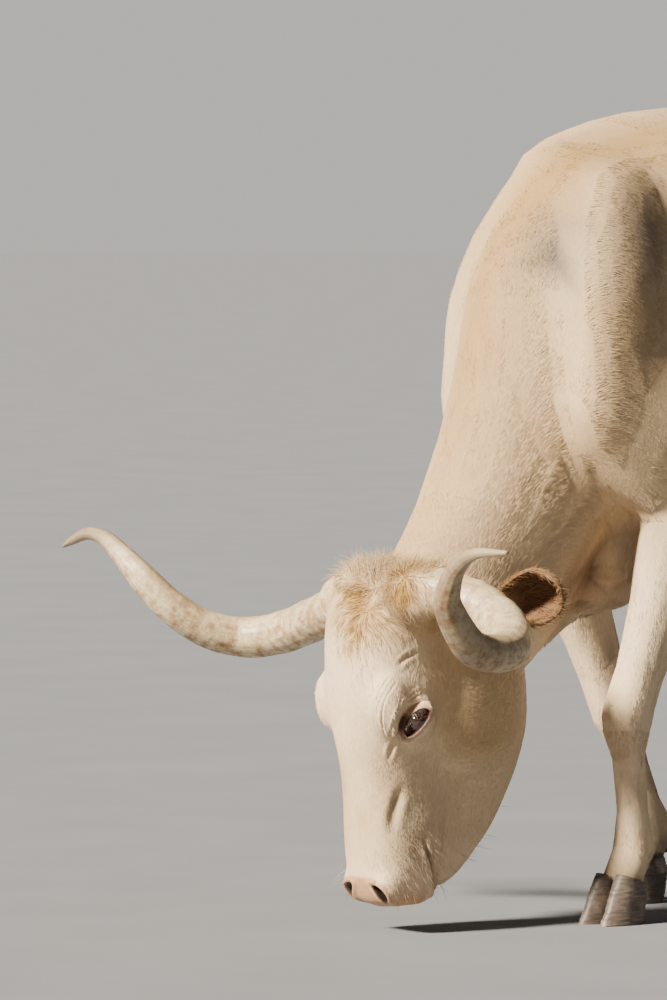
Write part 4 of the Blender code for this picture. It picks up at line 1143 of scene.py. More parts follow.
def muzzle_pad(points):
    """The bare pad between and above the nostrils, 0 to 1."""
    across, out, along = in_head(points).T
    beside = np.abs(across)
    top = 0.520 + 0.30 * np.maximum(beside - 0.030, 0)
    return rise(along, top, top + 0.006) * (1 - rise(beside, 0.056, 0.066)) * rise(out, -0.088, -0.074)


def lid_nearness(points):
    """Signed distance to the rim of the nearer eye's slot, large away from the eyes."""
    best = np.full(len(points), 1.0)
    for side in (1, -1):
        length, height, depth = eye_frame(points, side)
        rim = slot_distance(length, height)
        best = np.where((depth > 0) & (np.hypot(length, height) < 0.07), np.minimum(best, rim), best)
    return best


def ear_inside(points, normals):
    """1 on the faces of an ear that look into its cup, beyond the root."""
    inside = np.zeros(len(points))
    for word in EARS:
        share, off, outward = along_ear(points, word)
        towards_cup = normals @ np.array(unit(ear_cup(word))) > 0.05
        facing = towards_cup | ((units(outward) * normals).sum(axis=1) < -0.2)
        inside = np.maximum(inside, (off < 0.065) * rise(share, 0.10, 0.30) * facing)
    return inside


def layered(colours, *layers):
    """Tints laid over the colours one after another, each with its share."""
    for tint, share in layers:
        colours = mixed(colours, tint, share)
    return colours


def within(points, place, radii):
    """Distance from a place, where 1 is the surface of an ellipsoid with these radii."""
    return np.linalg.norm((points - np.array(place)) / np.array(radii), axis=1)


def body_markings(points, fine):
    """Cream with paler and tan patches, a tan crest and back, grey smudges, painted shade in the dips by the
    near shoulder and in the hollow before each foreleg, and a pale belly.
    """
    y, z = points.T[1:]
    blotch = wavy(points, 0.16, 41)
    colours = np.tile(np.array(CREAM), (len(points), 1))
    away, share = paths_near(points, crest_line())
    width = 0.066 + 0.012 * fine + 0.010 * blotch
    strength = 0.68 + 0.30 * bump(share - 0.42, 0.20)
    colours = layered(colours,
                      (PALE, 0.20 + 0.22 * blotch),
                      (TAN, 0.05 + 0.05 * wavy(points, 0.09, 43)),
                      (TAN, strength * bump(away, width)),
                      (TAN, 0.42 * bump(away, 0.20) * bump(share - 0.46, 0.26)))
    # grey smudges, and painted shade in the dips by the near shoulder
    for place, radii, amount in GREY_AND_SHADE_PATCHES:
        patch_of_grey_and_shade = bump(within(points, place, radii), 1.0)
        colours = mixed(colours, GREY_AND_SHADE, amount * patch_of_grey_and_shade * (1 + 0.25 * fine))
    # painted shade in the hollow before each foreleg
    for side in (1, -1):
        hollow = bump(within(points, (side * THROAT[0], *THROAT[1:]), THROAT_RADII), 1.0)
        colours = mixed(colours, PAINTED_SHADE_BROWN, 0.92 * hollow * (1 + 0.2 * fine))
    belly = (1 - rise(z, 0.56, 0.72)) * (y > 0.0)
    return mixed(colours, PALE, 0.5 * belly)


def face_markings(points, colours, fine):
    """A pale face with cream cheeks darkened in tan as painted shade, tan at bridge and lower face, ginger
    and tan hair at the poll, and dark brown at the mouth's corners that is whisker hair and painted shade.
    """
    across, out, along = in_head(points).T
    beside = np.abs(across)
    head = rise(headness(points), -0.02, 0.06)
    # the sides of the head, in cream rather than pale, and darkened with tan as painted shade
    cheek = head * rise(beside, 0.07, 0.09) * rise(-out, 0.08, 0.14)
    bridge = head * bump(beside - 0.030, 0.022) * bump(along - 0.40, 0.07) * (out > -0.05)
    lower_face = head * span(along, 0.29, 0.35, 0.48, 0.52)
    colours = layered(colours, (PALE, 0.55 * head), (CREAM, 0.8 * cheek), (TAN, 0.34 * cheek),
                      (TAN, 0.34 * bridge * (1 + fine)), (TAN, 0.24 * lower_face))
    for place, reach, amount in POLL_PATCHES:
        form = np.hypot((across - place[0]) / reach[0], (along - place[1]) / reach[1])
        patch = head * bump(form, 1.0) * (out > -0.13)
        colours = mixed(colours, GINGER, amount * patch * (1 + 0.6 * wavy(points, 0.018, 45)))
    poll = head * (1 - rise(along, 0.10, 0.17)) * (out > -0.16)
    # dark brown at the corners of the mouth: whisker hair and painted shade of the fold there
    whisker_hair_and_shade = head * bump(np.hypot((out + 0.074) / 0.020, (along - 0.484) / 0.026), 1.0)
    return layered(colours,
                   (TAN, 0.42 * poll * (1 + 0.5 * wavy(points, 0.028, 46))),
                   (PAINTED_SHADE_BROWN, 0.60 * whisker_hair_and_shade * (0.6 + 0.5 * wavy(points, 0.012, 47))))


def eye_markings(points, colours, rim):
    """Pink beside the rims of the lids, dark rims and inner corners, dark brown over the inner upper lid that
    is partly painted shade, and painted shade in the creases.
    """
    colours = mixed(colours, PINK, 0.75 * bump(rim - 0.0030, 0.0040))
    for side in (1, -1):
        length, height, depth = eye_frame(points, side)
        corner = np.hypot((length - 0.029) / 0.011, (height - 0.003) / 0.0065)
        # over the inner upper lid: dark brown skin of the inner corner and painted shade under the lid and
        # lashes
        inner = span(length, 0.000, 0.010, 0.026, 0.036) * (height > 0)
        inner = inner * (1 - rise(slot_distance(length, height), 0.0060, 0.0105))
        colours = layered(colours, (LID_BROWN_AND_SHADE, 0.92 * bump(corner, 1.0) * (depth > 0)),
                          (LID_BROWN_AND_SHADE, 0.85 * inner * (depth > 0)))
        # painted shade in the creases round the eye and down the face
        for places, tint, reach, amount in PAINTED_CREASE_SHADE:
            away, _ = paths_near(points, [on_side(place, side) for place in places])
            colours = mixed(colours, tint, amount * bump(away, reach))
    return mixed(colours, LID_BROWN_AND_SHADE, 1 - rise(rim, 0.0002, 0.0022))


def markings(points, normals):
    """Colour of hide and coat at these places."""
    y, z = points.T[1:]
    out, along = in_head(points).T[1:]
    fine = wavy(points, 0.035, 42)
    colours = face_markings(points, body_markings(points, fine), fine)
    # painted shade along the line of the mouth
    lip = rise(headness(points), -0.02, 0.06) * bump(from_mouth(out, along), 0.008) * rise(along, 0.475, 0.50)
    colours = layered(colours,
                      (EAR_RIM, 0.88 * rise(ear_reach(points), 0.10, 0.30)),
                      (EAR_DARK, 0.88 * ear_inside(points, normals)),
                      (PEACH, muzzle_pad(points)),
                      (PAINTED_SHADE_BROWN, 0.45 * lip))
    colours = eye_markings(points, colours, lid_nearness(points))
    foot = 1 - rise(z, 0.070, 0.120)
    knee = bump(z - KNEE_HEIGHT, 0.06) * (y > -0.09) * (y < 0.4) * rise(-y, -0.26, 0.02)
    # painted shade inside the nostrils; grey over the feet and tan at the knees
    colours = layered(colours,
                      (NOSTRIL_SHADE, nostril_depth(points)),
                      (UDDER_PINK, udder_share(points)),
                      (GREY_AND_SHADE, 0.35 * foot * (y > -0.09)),
                      (TAN, 0.12 * knee))
    return np.clip(colours, 0, 1)


def nostril_depth(points):
    """1 in a nostril, 0 outside it."""
    near = np.minimum(nostril_form(points, 1)[0], nostril_form(points, -1)[0])
    return 1 - rise(near, 0.82, 1.08)


def udder_share(points):
    x, y, z = points.T
    form = np.hypot(x / 0.105, (y - UDDER[1]) / 0.15)
    return (1 - rise(form, 0.85, 1.05)) * (1 - rise(z, 0.585, 0.625)) * rise(y, 0.72, 0.76)


def bareness(points):
    """Where the hide has no coat: nose pad, lid rims, nostrils, udder."""
    rim = 1 - rise(lid_nearness(points), 0.0010, 0.0050)
    bare = np.maximum(muzzle_pad(points), rim)
    bare = np.maximum(bare, nostril_depth(points))
    return np.maximum(bare, udder_share(points))


def painted(obj, colours, shares=None):
    """Colours, and any named shares, kept at the points of a mesh."""
    layer = obj.data.attributes.new("coat_colour", "FLOAT_COLOR", "POINT")
    opaque = np.column_stack([colours, np.ones(len(colours))])
    layer.data.foreach_set("color", opaque.astype(np.float32).ravel())
    for name, values in (shares or {}).items():
        layer = obj.data.attributes.new(name, "FLOAT", "POINT")
        layer.data.foreach_set("value", np.asarray(values, np.float32))
    return obj


# Materials

def finished(obj, material):
    """The piece shaded smooth, in its material."""
    obj.data.polygons.foreach_set("use_smooth", np.ones(len(obj.data.polygons), bool))
    obj.data.materials.append(material)
    return obj


def new_material(name, colour, roughness, **sockets):
    """A Principled material whose constant values sit on its own sockets."""
    made = bpy.data.materials.new(name)
    made.use_nodes = True
    shader = made.node_tree.nodes["Principled BSDF"]
    shader.inputs["Base Color"].default_value = (*colour, 1)
    shader.inputs["Roughness"].default_value = roughness
    for socket, value in sockets.items():
        shader.inputs[socket.replace("_", " ")].default_value = value
    return made, made.node_tree, shader


def node(tree, kind, inputs=None, **settings):
    made = tree.nodes.new(kind)
    for name, value in settings.items():
        setattr(made, name, value)
    for socket, value in (inputs or {}).items():
        if isinstance(value, bpy.types.NodeSocket):
            tree.links.new(value, made.inputs[socket])
        else:
            made.inputs[socket].default_value = value
    return made


def noise(tree, vector, scale, detail=3.0, rough=0.55, stretch=(1, 1, 1)):
    """Noise over the surface's own places, drawn out by a stretch of each axis."""
    moved = node(tree, "ShaderNodeMapping", {"Vector": vector, "Scale": stretch})
    return node(tree, "ShaderNodeTexNoise", {"Vector": moved.outputs[0], "Scale": scale,
                                             "Detail": detail, "Roughness": rough}).outputs["Fac"]


def ramp(tree, value, places, colours):
    """From the first colour at the first place to the second colour at the second."""
    made = node(tree, "ShaderNodeValToRGB", {"Fac": value})
    for element, place, colour in zip(made.color_ramp.elements, places, colours):
        element.position = place
        element.color = (*colour, 1)
    return made.outputs["Color"]


def greys(tree, value, places, shades):
    return ramp(tree, value, places, [(shade, shade, shade) for shade in shades])


def blend(tree, kind, share, a, b):
    a, b = ((*colour, 1) if isinstance(colour, tuple) else colour for colour in (a, b))
    made = node(tree, "ShaderNodeMix", {0: share, 6: a, 7: b}, data_type="RGBA", blend_type=kind)
    return made.outputs[2]


def maths(tree, operation, a, b=0.0):
    return node(tree, "ShaderNodeMath", {0: a, 1: b}, operation=operation).outputs[0]


def share_of(tree, name):
    return node(tree, "ShaderNodeAttribute", attribute_name=name).outputs["Fac"]


def colour_of(tree):
    return node(tree, "ShaderNodeAttribute", attribute_name="coat_colour").outputs["Color"]


def bumped(tree, shader, height, distance, strength):
    made = node(tree, "ShaderNodeBump", {"Height": height, "Distance": distance, "Strength": strength})
    tree.links.new(made.outputs[0], shader.inputs["Normal"])


def place_of(tree):
    return node(tree, "ShaderNodeTexCoord").outputs["Object"]


def hide_material():
    """Haired hide, with bare wet skin where the coat stops."""
    made, tree, shader = new_material("hide", CREAM, 0.75, Sheen_Weight=0.06, Sheen_Roughness=0.5)
    place, bare = place_of(tree), share_of(tree, "bare")
    streak = noise(tree, place, 260, 4, 0.6, (1, 1, 0.35))
    soft = noise(tree, place, 24, 4, 0.6)
    tint = blend(tree, "MULTIPLY", 1.0, colour_of(tree), greys(tree, streak, (0.25, 0.75), (0.80, 1.08)))
    tint = blend(tree, "MULTIPLY", 0.5, tint, greys(tree, soft, (0.3, 0.7), (0.86, 1.05)))
    tree.links.new(tint, shader.inputs["Base Color"])
    rough = maths(tree, "SUBTRACT", 0.78, maths(tree, "MULTIPLY", bare, 0.34))
    tree.links.new(rough, shader.inputs["Roughness"])
    cells = node(tree, "ShaderNodeTexVoronoi", {"Vector": place, "Scale": 420.0}).outputs["Distance"]
    height = maths(tree, "ADD", maths(tree, "MULTIPLY", streak, 0.8), maths(tree, "MULTIPLY", cells, bare))
    bumped(tree, shader, height, 0.0012, 0.6)
    return made


def coat_material(name, dark, bright):
    """Hair, each tuft a little lighter or darker, and darker towards its root."""
    made, tree, shader = new_material(name, CREAM, 0.62, Sheen_Weight=0.04, Sheen_Roughness=0.4)
    shader.inputs["Specular IOR Level"].default_value = 0.35
    by_tuft = greys(tree, share_of(tree, "tuft"), (0.0, 1.0), (dark, bright))
    by_length = greys(tree, share_of(tree, "tip"), (0.0, 1.0), (0.90, 1.04))
    tint = blend(tree, "MULTIPLY", 1.0, colour_of(tree), by_tuft)
    tint = blend(tree, "MULTIPLY", 1.0, tint, by_length)
    tree.links.new(tint, shader.inputs["Base Color"])
    return made


HORN_IVORY = (0.52, 0.38, 0.20)
HORN_WHITE = (0.72, 0.60, 0.40)
# brown of the horn's stain, also used as painted shade on its underside
HORN_STAIN_AND_SHADE = (0.30, 0.155, 0.055)
# grey of the horn tips, also used as painted shade on the near horn
HORN_GREY_AND_SHADE = (0.12, 0.068, 0.030)


def horn_material(word):
    """Ivory horn, ringed at the root, stained in mottled brown with painted shade on its underside, darker to
    the tip, and with painted shade over the near horn's lower curl.
    """
    made, tree, shader = new_material("horn_" + word, HORN_IVORY, 0.42, Coat_Weight=0.12, Coat_Roughness=0.25)
    along, turn = share_of(tree, "along"), share_of(tree, "turn")
    unrolled = node(tree, "ShaderNodeCombineXYZ", {0: along, 1: turn}).outputs[0]
    streaks = noise(tree, unrolled, 5.0, 6, 0.65, (2.2, 9, 1))
    mottled = noise(tree, place_of(tree), 55, 6, 0.7)
    rings = noise(tree, unrolled, 4.0, 4, 0.6, (26, 0.8, 1))
    base = blend(tree, "MIX", greys(tree, streaks, (0.35, 0.65), (0, 1)), HORN_IVORY, HORN_WHITE)
    # mottled brown stain, and painted shade on the underside
    stain_and_shade = maths(tree, "MULTIPLY", greys(tree, mottled, (0.42, 0.62), (0, 1)), share_of(tree, "stain_and_shade"))
    base = blend(tree, "MIX", stain_and_shade, base, HORN_STAIN_AND_SHADE)
    # grey tips, and on the near horn painted shade
    tip = maths(tree, "MULTIPLY", share_of(tree, "dark"), greys(tree, streaks, (0.2, 0.8), (0.55, 1)))
    base = blend(tree, "MIX", tip, base, HORN_GREY_AND_SHADE)
    base = blend(tree, "MULTIPLY", 0.5, base, greys(tree, rings, (0.35, 0.6), (0.72, 1.0)))
    tree.links.new(base, shader.inputs["Base Color"])
    tree.links.new(greys(tree, mottled, (0.3, 0.7), (0.34, 0.62)), shader.inputs["Roughness"])
    height = maths(tree, "ADD", maths(tree, "MULTIPLY", rings, 0.7), maths(tree, "MULTIPLY", streaks, 0.5))
    bumped(tree, shader, height, 0.0014, 0.6)
    return made


HOOF_DARK = (0.055, 0.042, 0.034)
HOOF_PALE = (0.17, 0.125, 0.09)
HOOF_DUST = (0.36, 0.29, 0.21)


def hoof_material():
    """Dark horn with fine growth lines, and dust in soft patches."""
    made, tree, shader = new_material("hoof", HOOF_DARK, 0.5, Coat_Weight=0.08, Coat_Roughness=0.4)
    place = place_of(tree)
    lines = noise(tree, place, 60, 5, 0.65, (0.6, 0.6, 5.0))
    dust = noise(tree, place, 22, 5, 0.7)
    base = ramp(tree, lines, (0.3, 0.7), (HOOF_DARK, HOOF_PALE))
    base = blend(tree, "MIX", greys(tree, dust, (0.5, 0.8), (0, 0.6)), base, HOOF_DUST)
    tree.links.new(base, shader.inputs["Base Color"])
    bumped(tree, shader, lines, 0.0012, 0.8)
    return made


BALL_BROWN = (0.11, 0.045, 0.030)
BALL_CORNER = (0.22, 0.085, 0.055)
IRIS = (0.035, 0.016, 0.009)
IRIS_EDGE = (0.02, 0.010, 0.006)
PUPIL = (0.004, 0.004, 0.006)
IRIS_HALF = 50.0          # degrees of the ball that the iris takes up, from its middle


def eye_material():
    """A wet ball with a fleck in its colours."""
    made, tree, shader = new_material("eye", IRIS, 0.06, Coat_Weight=1.0, Coat_Roughness=0.02)
    flecks = greys(tree, noise(tree, place_of(tree), 300, 3, 0.6), (0.3, 0.7), (0.6, 1.1))
    tint = blend(tree, "MULTIPLY", 0.5, colour_of(tree), flecks)
    tree.links.new(tint, shader.inputs["Base Color"])
    return made


# Horns, eyes and hooves

def horn(word, side):
    """A horn along the solids' line, with growth rings that fade away from the root."""
    around = 44
    rows = [(*beside_head(side * across, ahead, height), radius)
            for across, ahead, height, radius in HORN_LINES[word]]
    rows = spline(rows, 9)
    points = [Vector(row[:3]) for row in rows]
    length = np.concatenate([[0], np.cumsum([(b - a).length for a, b in zip(points, points[1:])])])
    share = length / length[-1]
    side_way = unit((points[1] - points[0]).cross(Vector((0.2, 0.3, 1))))
    rng = np.random.default_rng(SEED + 20)
    wave = rng.uniform(0, 2 * math.pi, 6)
    vertices, along, turn, under = [], [], [], []
    for i, row in enumerate(rows):
        ahead = unit(points[min(i + 1, len(rows) - 1)] - points[max(i - 1, 0)])
        side_way = unit(side_way - ahead * side_way.dot(ahead))
        other = ahead.cross(side_way)
        ring = 0.0011 * (1 - rise(share[i], 0.10, 0.42)) * math.sin(length[i] / 0.0045 + wave[0])
        ring += 0.0007 * (1 - rise(share[i], 0.25, 0.6)) * math.sin(length[i] / 0.0107 + wave[1])
        for k in range(around):
            a = k * 2 * math.pi / around
            ridge = 0.0005 * math.sin(5 * a + wave[2] + 6 * share[i]) + 0.0003 * math.sin(11 * a + wave[3])
            radius = row[3] * 0.988 + (ring + ridge) * min(1.0, row[3] / 0.02)
            way = math.cos(a) * side_way + math.sin(a) * other
            vertices.append(points[i] + way * radius)
            along.append(share[i])
            turn.append(abs(2 * k / around - 1))
            under.append(0.5 - 0.5 * way.z)
    vertices += [points[0], points[-1]]
    along, turn, under = (np.array(v + [v[0], v[-1]]) for v in (along, turn, under))
    obj = face_outwards(mesh_object(word + "_horn", vertices, tube_faces(len(rows), around)))
    # brown stain, and painted shade that grows towards the horn's underside
    stain_and_shade = np.clip(0.38 + 0.62 * under + 0.25 * bump(along - 0.35, 0.25), 0, 1)
    stain_and_shade = stain_and_shade * (1 - rise(along, 0.75, 0.95))
    # grey towards the tip; on the near horn, painted shade over the lower turn of its curl and the arm that
    # rises from it
    dark = rise(along, 0.72, 0.90) * (0.85 if side < 0 else 0.55)
    if side > 0:
        dark = np.maximum(dark, 0.72 * span(along, 0.38, 0.58, 0.86, 0.98))
    painted(obj, np.tile(np.array(HORN_IVORY), (len(vertices), 1)),
            {"along": along, "turn": turn, "stain_and_shade": stain_and_shade, "dark": dark})
    return finished(obj, horn_material(word))


def eyeball(word, side, finish):
    """A ball with a raised cornea, dark iris and a pupil that lies along the slot."""
    centre = on_side(EYE, side)
    facing = head_vector(EYE_FACING, side)
    slot = head_vector(EYE_SLOT, side)
    slot = unit(slot - facing * slot.dot(facing))
    bm = bmesh.new()
    bmesh.ops.create_uvsphere(bm, u_segments=64, v_segments=48, radius=1.0)
    obj = object_from(bm, word + "_eyeball")
    local = points_of(obj)
    angle = np.degrees(np.arccos(np.clip(local[:, 2], -1, 1)))
    swell = 1 + 0.045 * (1 - rise(angle, 18, IRIS_HALF + 4))
    turn = np.array([slot, facing.cross(slot), facing])
    points = (local * swell[:, None] * EYEBALL_RADIUS * 0.985) @ turn + np.array(centre)
    put_points(obj, points)
    pupil = np.hypot(local[:, 0] / 0.42, local[:, 1] / 0.17)
    painted(obj, layered(np.tile(np.array(BALL_BROWN), (len(points), 1)),
                         (IRIS, 1 - rise(angle, IRIS_HALF - 2, IRIS_HALF + 3)),
                         (BALL_CORNER, rise(side * local[:, 1], 0.05, 0.30)),
                         (IRIS_EDGE, bump(angle - IRIS_HALF, 4)),
                         (PUPIL, (1 - rise(pupil, 0.85, 1.1)) * (local[:, 2] > 0))))
    return finished(obj, finish)


TOES_TURN = {"fore_left": 4, "fore_right": -4, "hind_left": 7, "hind_right": -7}     # degrees to her left
CORONET_SLOPE = 20.0
CLAW_MIDDLE = 0.021      # from the foot's middle to the middle of a claw
CLAW_HALF = 0.022
TOE_NARROWING = 0.007    # how far each side of a claw comes in at the toe
# down a claw: share of the height, half width, reach forward and back, shift forward
CLAW_ROWS = (
    (-0.16, 0.0180, 0.031, 0.034, -0.003), (0.00, 0.0190, 0.034, 0.036, 0.000),
    (0.18, 0.0196, 0.037, 0.037, 0.003), (0.35, 0.0200, 0.040, 0.037, 0.006),
    (0.75, 0.0215, 0.047, 0.038, 0.013), (0.97, 0.0222, 0.052, 0.036, 0.018),
    (1.00, 0.0216, 0.051, 0.035, 0.018),
)


def foot_frame(name):
    """The coronet's centre and the way the toes point."""
    return Vector(LEGS[name][4]), turned(FRONT, TOES_TURN[name])


def claw(name, foot, side, finish):
    """A claw with growth rings, its wall a little hollow at the toe and its sole flat."""
    centre, ahead = foot_frame(foot)
    across = unit(ahead.cross(UP)) * -1
    slope = math.radians(CORONET_SLOPE)
    up_toe = math.cos(slope) * ahead + math.sin(slope) * UP
    rows = []
    for share, half, front, back, forward in CLAW_ROWS:
        tilt = unit(up_toe.lerp(ahead, max(share, 0)))
        middle = Vector((centre.x, centre.y, centre.z * (1 - share))) + ahead * forward
        middle = middle + across * side * (max(half, 0.0190) + 0.0016)
        rows.append([*middle, *across, *tilt, half, front, back, 2.3, 0.0])
    obj = loft(name, rows, bpy.context.scene.collection, around=48, steps=7)
    points, normals = points_of(obj), normals_of(obj)
    height = points[:, 2]
    rings = 0.00045 * np.sin(height / 0.0012 + 1.5 * wavy(points, 0.02, 61))
    rings = (rings + 0.0004 * wavy(points, 0.010, 62)) * span(height, 0.001, 0.006, 0.055, 0.062)
    local = points - np.array(centre)
    off_middle = (local @ np.array(across)) * side - CLAW_MIDDLE
    narrowing = TOE_NARROWING * rise(local @ np.array(ahead), 0.02, 0.075) * off_middle / CLAW_HALF
    points += normals * rings[:, None] - np.outer(side * narrowing, across)
    points[:, 2] = np.where(points[:, 2] < 0.0015, 0.0, points[:, 2])
    put_points(obj, points)
    return finished(obj, finish)


def dewclaw(name, foot, side, finish):
    """A short ringed cone behind the fetlock."""
    fetlock, ahead = Vector(LEGS[foot][3]), foot_frame(foot)[1]
    across = unit(ahead.cross(UP)) * -1
    centre = fetlock - ahead * 0.037 + across * side * 0.019 - UP * 0.020
    down = unit(-UP - ahead * 0.55)
    path = [(*(centre - down * 0.010), 0.004), (*(centre - down * 0.006), 0.0115),
            (*(centre + down * 0.008), 0.0120), (*(centre + down * 0.020), 0.0085),
            (*(centre + down * 0.025), 0.0030)]
    obj = rounded_tube(name, path, 28, 6)
    points, normals = points_of(obj), normals_of(obj)
    points += normals * (0.0004 * np.sin((points @ np.array(down)) / 0.0011))[:, None]
    put_points(obj, points)
    return finished(obj, finish)


# Coat

# the parting of the poll's hair, from the near horn to the whorl: across, out, along
PARTING = ((0.118, -0.072, 0.040), (0.090, -0.060, 0.054), (0.067, -0.045, 0.071), (0.056, -0.033, 0.104))
BAKE_PATCH = 0.003       # size of a tuft's patch on the bake map
SWITCH_RISE = 0.075      # the switch starts this far above the tail's end
SWITCH_DROP = 0.26       # and its longest hairs would hang this far below it
EAR_HAIR = (0.36, 0.185, 0.055)
LASH_DARK = (0.07, 0.042, 0.030)
LASH_PALE = (0.55, 0.45, 0.36)

# single hairs of each long piece, with the lashes of one eye
HAIRS = {"poll": 3200, "ear": 2200, "lashes": 54, "whiskers": 260, "switch": 1500}
LEG_COAT_TOP = {"fore": 0.60, "hind": 0.66}

# each piece of short coat: tufts, then the axis that its unwrap goes round: place, way, front
COAT = {
    "fur_shoulder_left": (46000, (0, 0.2, 0.93), (0, 1, 0), (0, 0, 1)),
    "fur_shoulder_right": (33000, (0, 0.2, 0.93), (0, 1, 0), (0, 0, 1)),
    "fur_rump_left": (33000, (0, 0.8, 0.93), (0, 1, 0), (0, 0, 1)),
    "fur_rump_right": (31000, (0, 0.8, 0.93), (0, 1, 0), (0, 0, 1)),
    "fur_neck": (49000, (-0.02, -0.13, 0.76), (-0.1, -0.5, -0.8), (0, -1, 0)),
    "fur_head": (49500, (0, 0, 0), (0, 0, 1), (0, -1, 0)),
    "fur_fore_legs": (29000, (0, 0, 0), (0, 0, -1), (0, -1, 0)),
    "fur_hind_legs": (27000, (0, 0, 0), (0, 0, -1), (0, -1, 0)),
    "fur_tail": (5000, (0, 1.27, 0.8), (0, 0, -1), (0, -1, 0)),
    "fur_ears": (7000, (0, 0, 0), (0, 0, 1), (0, -1, 0)),
}


def coat_regions(points):
    """Index in COAT of the piece that each place belongs to."""
    names = list(COAT)
    x, y, z = points.T
    region = np.where(y < 0.50, 0, 2) + (x < 0)
    for foot, joints in LEGS.items():
        away, _ = paths_near(points, [Vector(j) for j in joints[:4]])
        near = (away < 0.10) & (z < LEG_COAT_TOP[foot[:4]])
        region[near] = names.index(f"fur_{foot[:4]}_legs")
    region[(y + 0.20 * (z - 0.9) < 0.02) & (z > 0.42)] = names.index("fur_neck")
    region[headness(points) > 0] = names.index("fur_head")
    region[tail_nearness(points)] = names.index("fur_tail")
    region[ear_reach(points) > 0.14] = names.index("fur_ears")
    return region


def from_parting(points):
    """The way from the parting of the poll's hair to each place, and how far it is."""
    line = spline([on_head(*place) for place in PARTING], 6)
    nearest = np.argmin([distances(points, place) for place in line], axis=0)
    away = points - line[nearest]
    return units(away), np.linalg.norm(away, axis=1)


def hair_lie(points, normals):
    """The way the coat runs over the skin: back, down the legs, and down the face."""
    x, y, z = points.T
    dip = 24 + 16 * bump(y - 0.10, 0.16) + 30 * rise(y, 0.80, 1.15)
    dip = dip + (86 - dip) * (1 - rise(z, 0.50, 0.74))
    dip = np.where(tail_nearness(points), 88, dip)
    neck = 1 - rise(y, -0.20, 0.02)
    dip = np.radians(dip * (1 - neck) - 56 * neck)
    lie = np.column_stack([0.34 * np.sign(x) * rise(z, 0.95, 1.2), np.cos(dip), -np.sin(dip)])
    across, out, along = in_head(points).T
    back = rise(-out, 0.07, 0.24) * rise(along, 0.12, 0.24)
    face = np.outer(1 - 1.3 * back, NOSE) - np.outer(1.1 * back, FACE)
    face += np.outer(0.30 * np.sign(across) * rise(np.abs(across), 0.02, 0.07), HEAD_SIDE)
    parted, far = from_parting(points)
    parted = parted + 0.45 * np.outer(rise(along, 0.05, 0.09), NOSE)
    near = (1 - rise(far, 0.045, 0.100))[:, None]
    face = face * (1 - near) + parted * near
    nape = rise(-out, 0.085, 0.13) * (1 - rise(along, 0.12, 0.20))
    face = face * (1 - nape[:, None]) + np.outer(nape, -unit(NECK_HEAD_NORMAL))
    head = rise(headness(points), 0.0, 0.04)[:, None]
    lie = lie * (1 - head) + face * head
    on_ear = (ear_reach(points) > 0.1)[:, None]
    for word in EARS:
        root, tip = (np.array(place) for place in ear_line(word))
        off = distances(points, (root + tip) / 2)[:, None]
        lie = np.where((off < 0.15) & on_ear, np.array(unit(tip - root)), lie)
    turn = (0.20 * wavy(points, 0.060, 71) + 0.16 * wavy(points, 0.016, 72))[:, None]
    lie = units(lie - normals * (lie * normals).sum(axis=1, keepdims=True))
    return units(lie * np.cos(turn) + np.cross(normals, lie) * np.sin(turn))


def hair_length(points):
    """Length of the coat's hair at each place, longest on poll and belly."""
    y, z = points.T[1:]
    along = in_head(points)[:, 2]
    length = 0.0112 - 0.0030 * (1 - rise(z, 0.40, 0.62))
    length = length + 0.004 * (1 - rise(z, 0.52, 0.62)) * (z > 0.48) * (y < 0.9)
    head = rise(headness(points), 0.0, 0.05)
    face = 0.0085 - 0.0035 * rise(along, 0.20, 0.50)
    face = face + 0.0070 * (1 - rise(from_parting(points)[1], 0.03, 0.10))
    face = np.minimum(face, 0.0032 + 0.16 * np.clip(lid_nearness(points), 0, 1))
    length = length * (1 - head) + face * head
    return np.where(ear_reach(points) > 0.12, 0.0080, length)


def unwrapped(points, name):
    """Places on an unwrap of the skin's own shape: round an axis, and along it, from 0 to 1."""
    _, origin, way, front = COAT.get(name, COAT["fur_head"])
    on_legs, on_ears = "legs" in name, "ear" in name
    if name in ("fur_head", "poll_hair", "face_hair"):
        origin, way, front = on_head(0, -0.12, 0.2), NOSE, FACE
    parts = np.zeros(len(points), int)
    if on_legs or on_ears:
        parts = (points[:, 0] < (0 if on_legs else FOREHEAD_AT_EYES.x)).astype(int)
    places = np.zeros((len(points), 2))
    for part in np.unique(parts):
        chosen = parts == part
        if on_legs:
            origin = points[chosen].mean(axis=0)
        if on_ears:
            root, tip = ear_line("right" if part else "left")
            origin, way, front = root.lerp(tip, 0.5), tip - root, UP
        way, front = unit(way), Vector(front)
        front = unit(front - way * front.dot(way))
        local = points[chosen] - np.array(origin)
        angle = np.arctan2(local @ np.array(way.cross(front)), local @ np.array(front))
        share = angle / (2 * math.pi) % 1
        if name.endswith(("_left", "_right")):
            share = share * 2 % 1
        along = local @ np.array(way)
        along = (along - along.min()) / max(np.ptp(along), 1e-6)
        places[chosen] = np.column_stack([(share + part) / (parts.max() + 1), along])
    return 0.005 + 0.99 * places


def mapped(obj, triangles, places):
    """The bake map: where each vertex lies on the unwrap."""
    layer = obj.data.uv_layers.new(name="OFBake")
    layer.data.foreach_set("uv", places[triangles.ravel()].astype(np.float32).ravel())


def sown(weights, count, rng):
    """Random places on triangles: which triangle, and the share of each corner."""
    chosen = rng.choice(len(weights), count, p=weights / weights.sum())
    a, b = rng.random((2, count))
    over = a + b > 1
    a, b = np.where(over, 1 - a, a), np.where(over, 1 - b, b)
    return chosen, np.column_stack([1 - a - b, a, b])


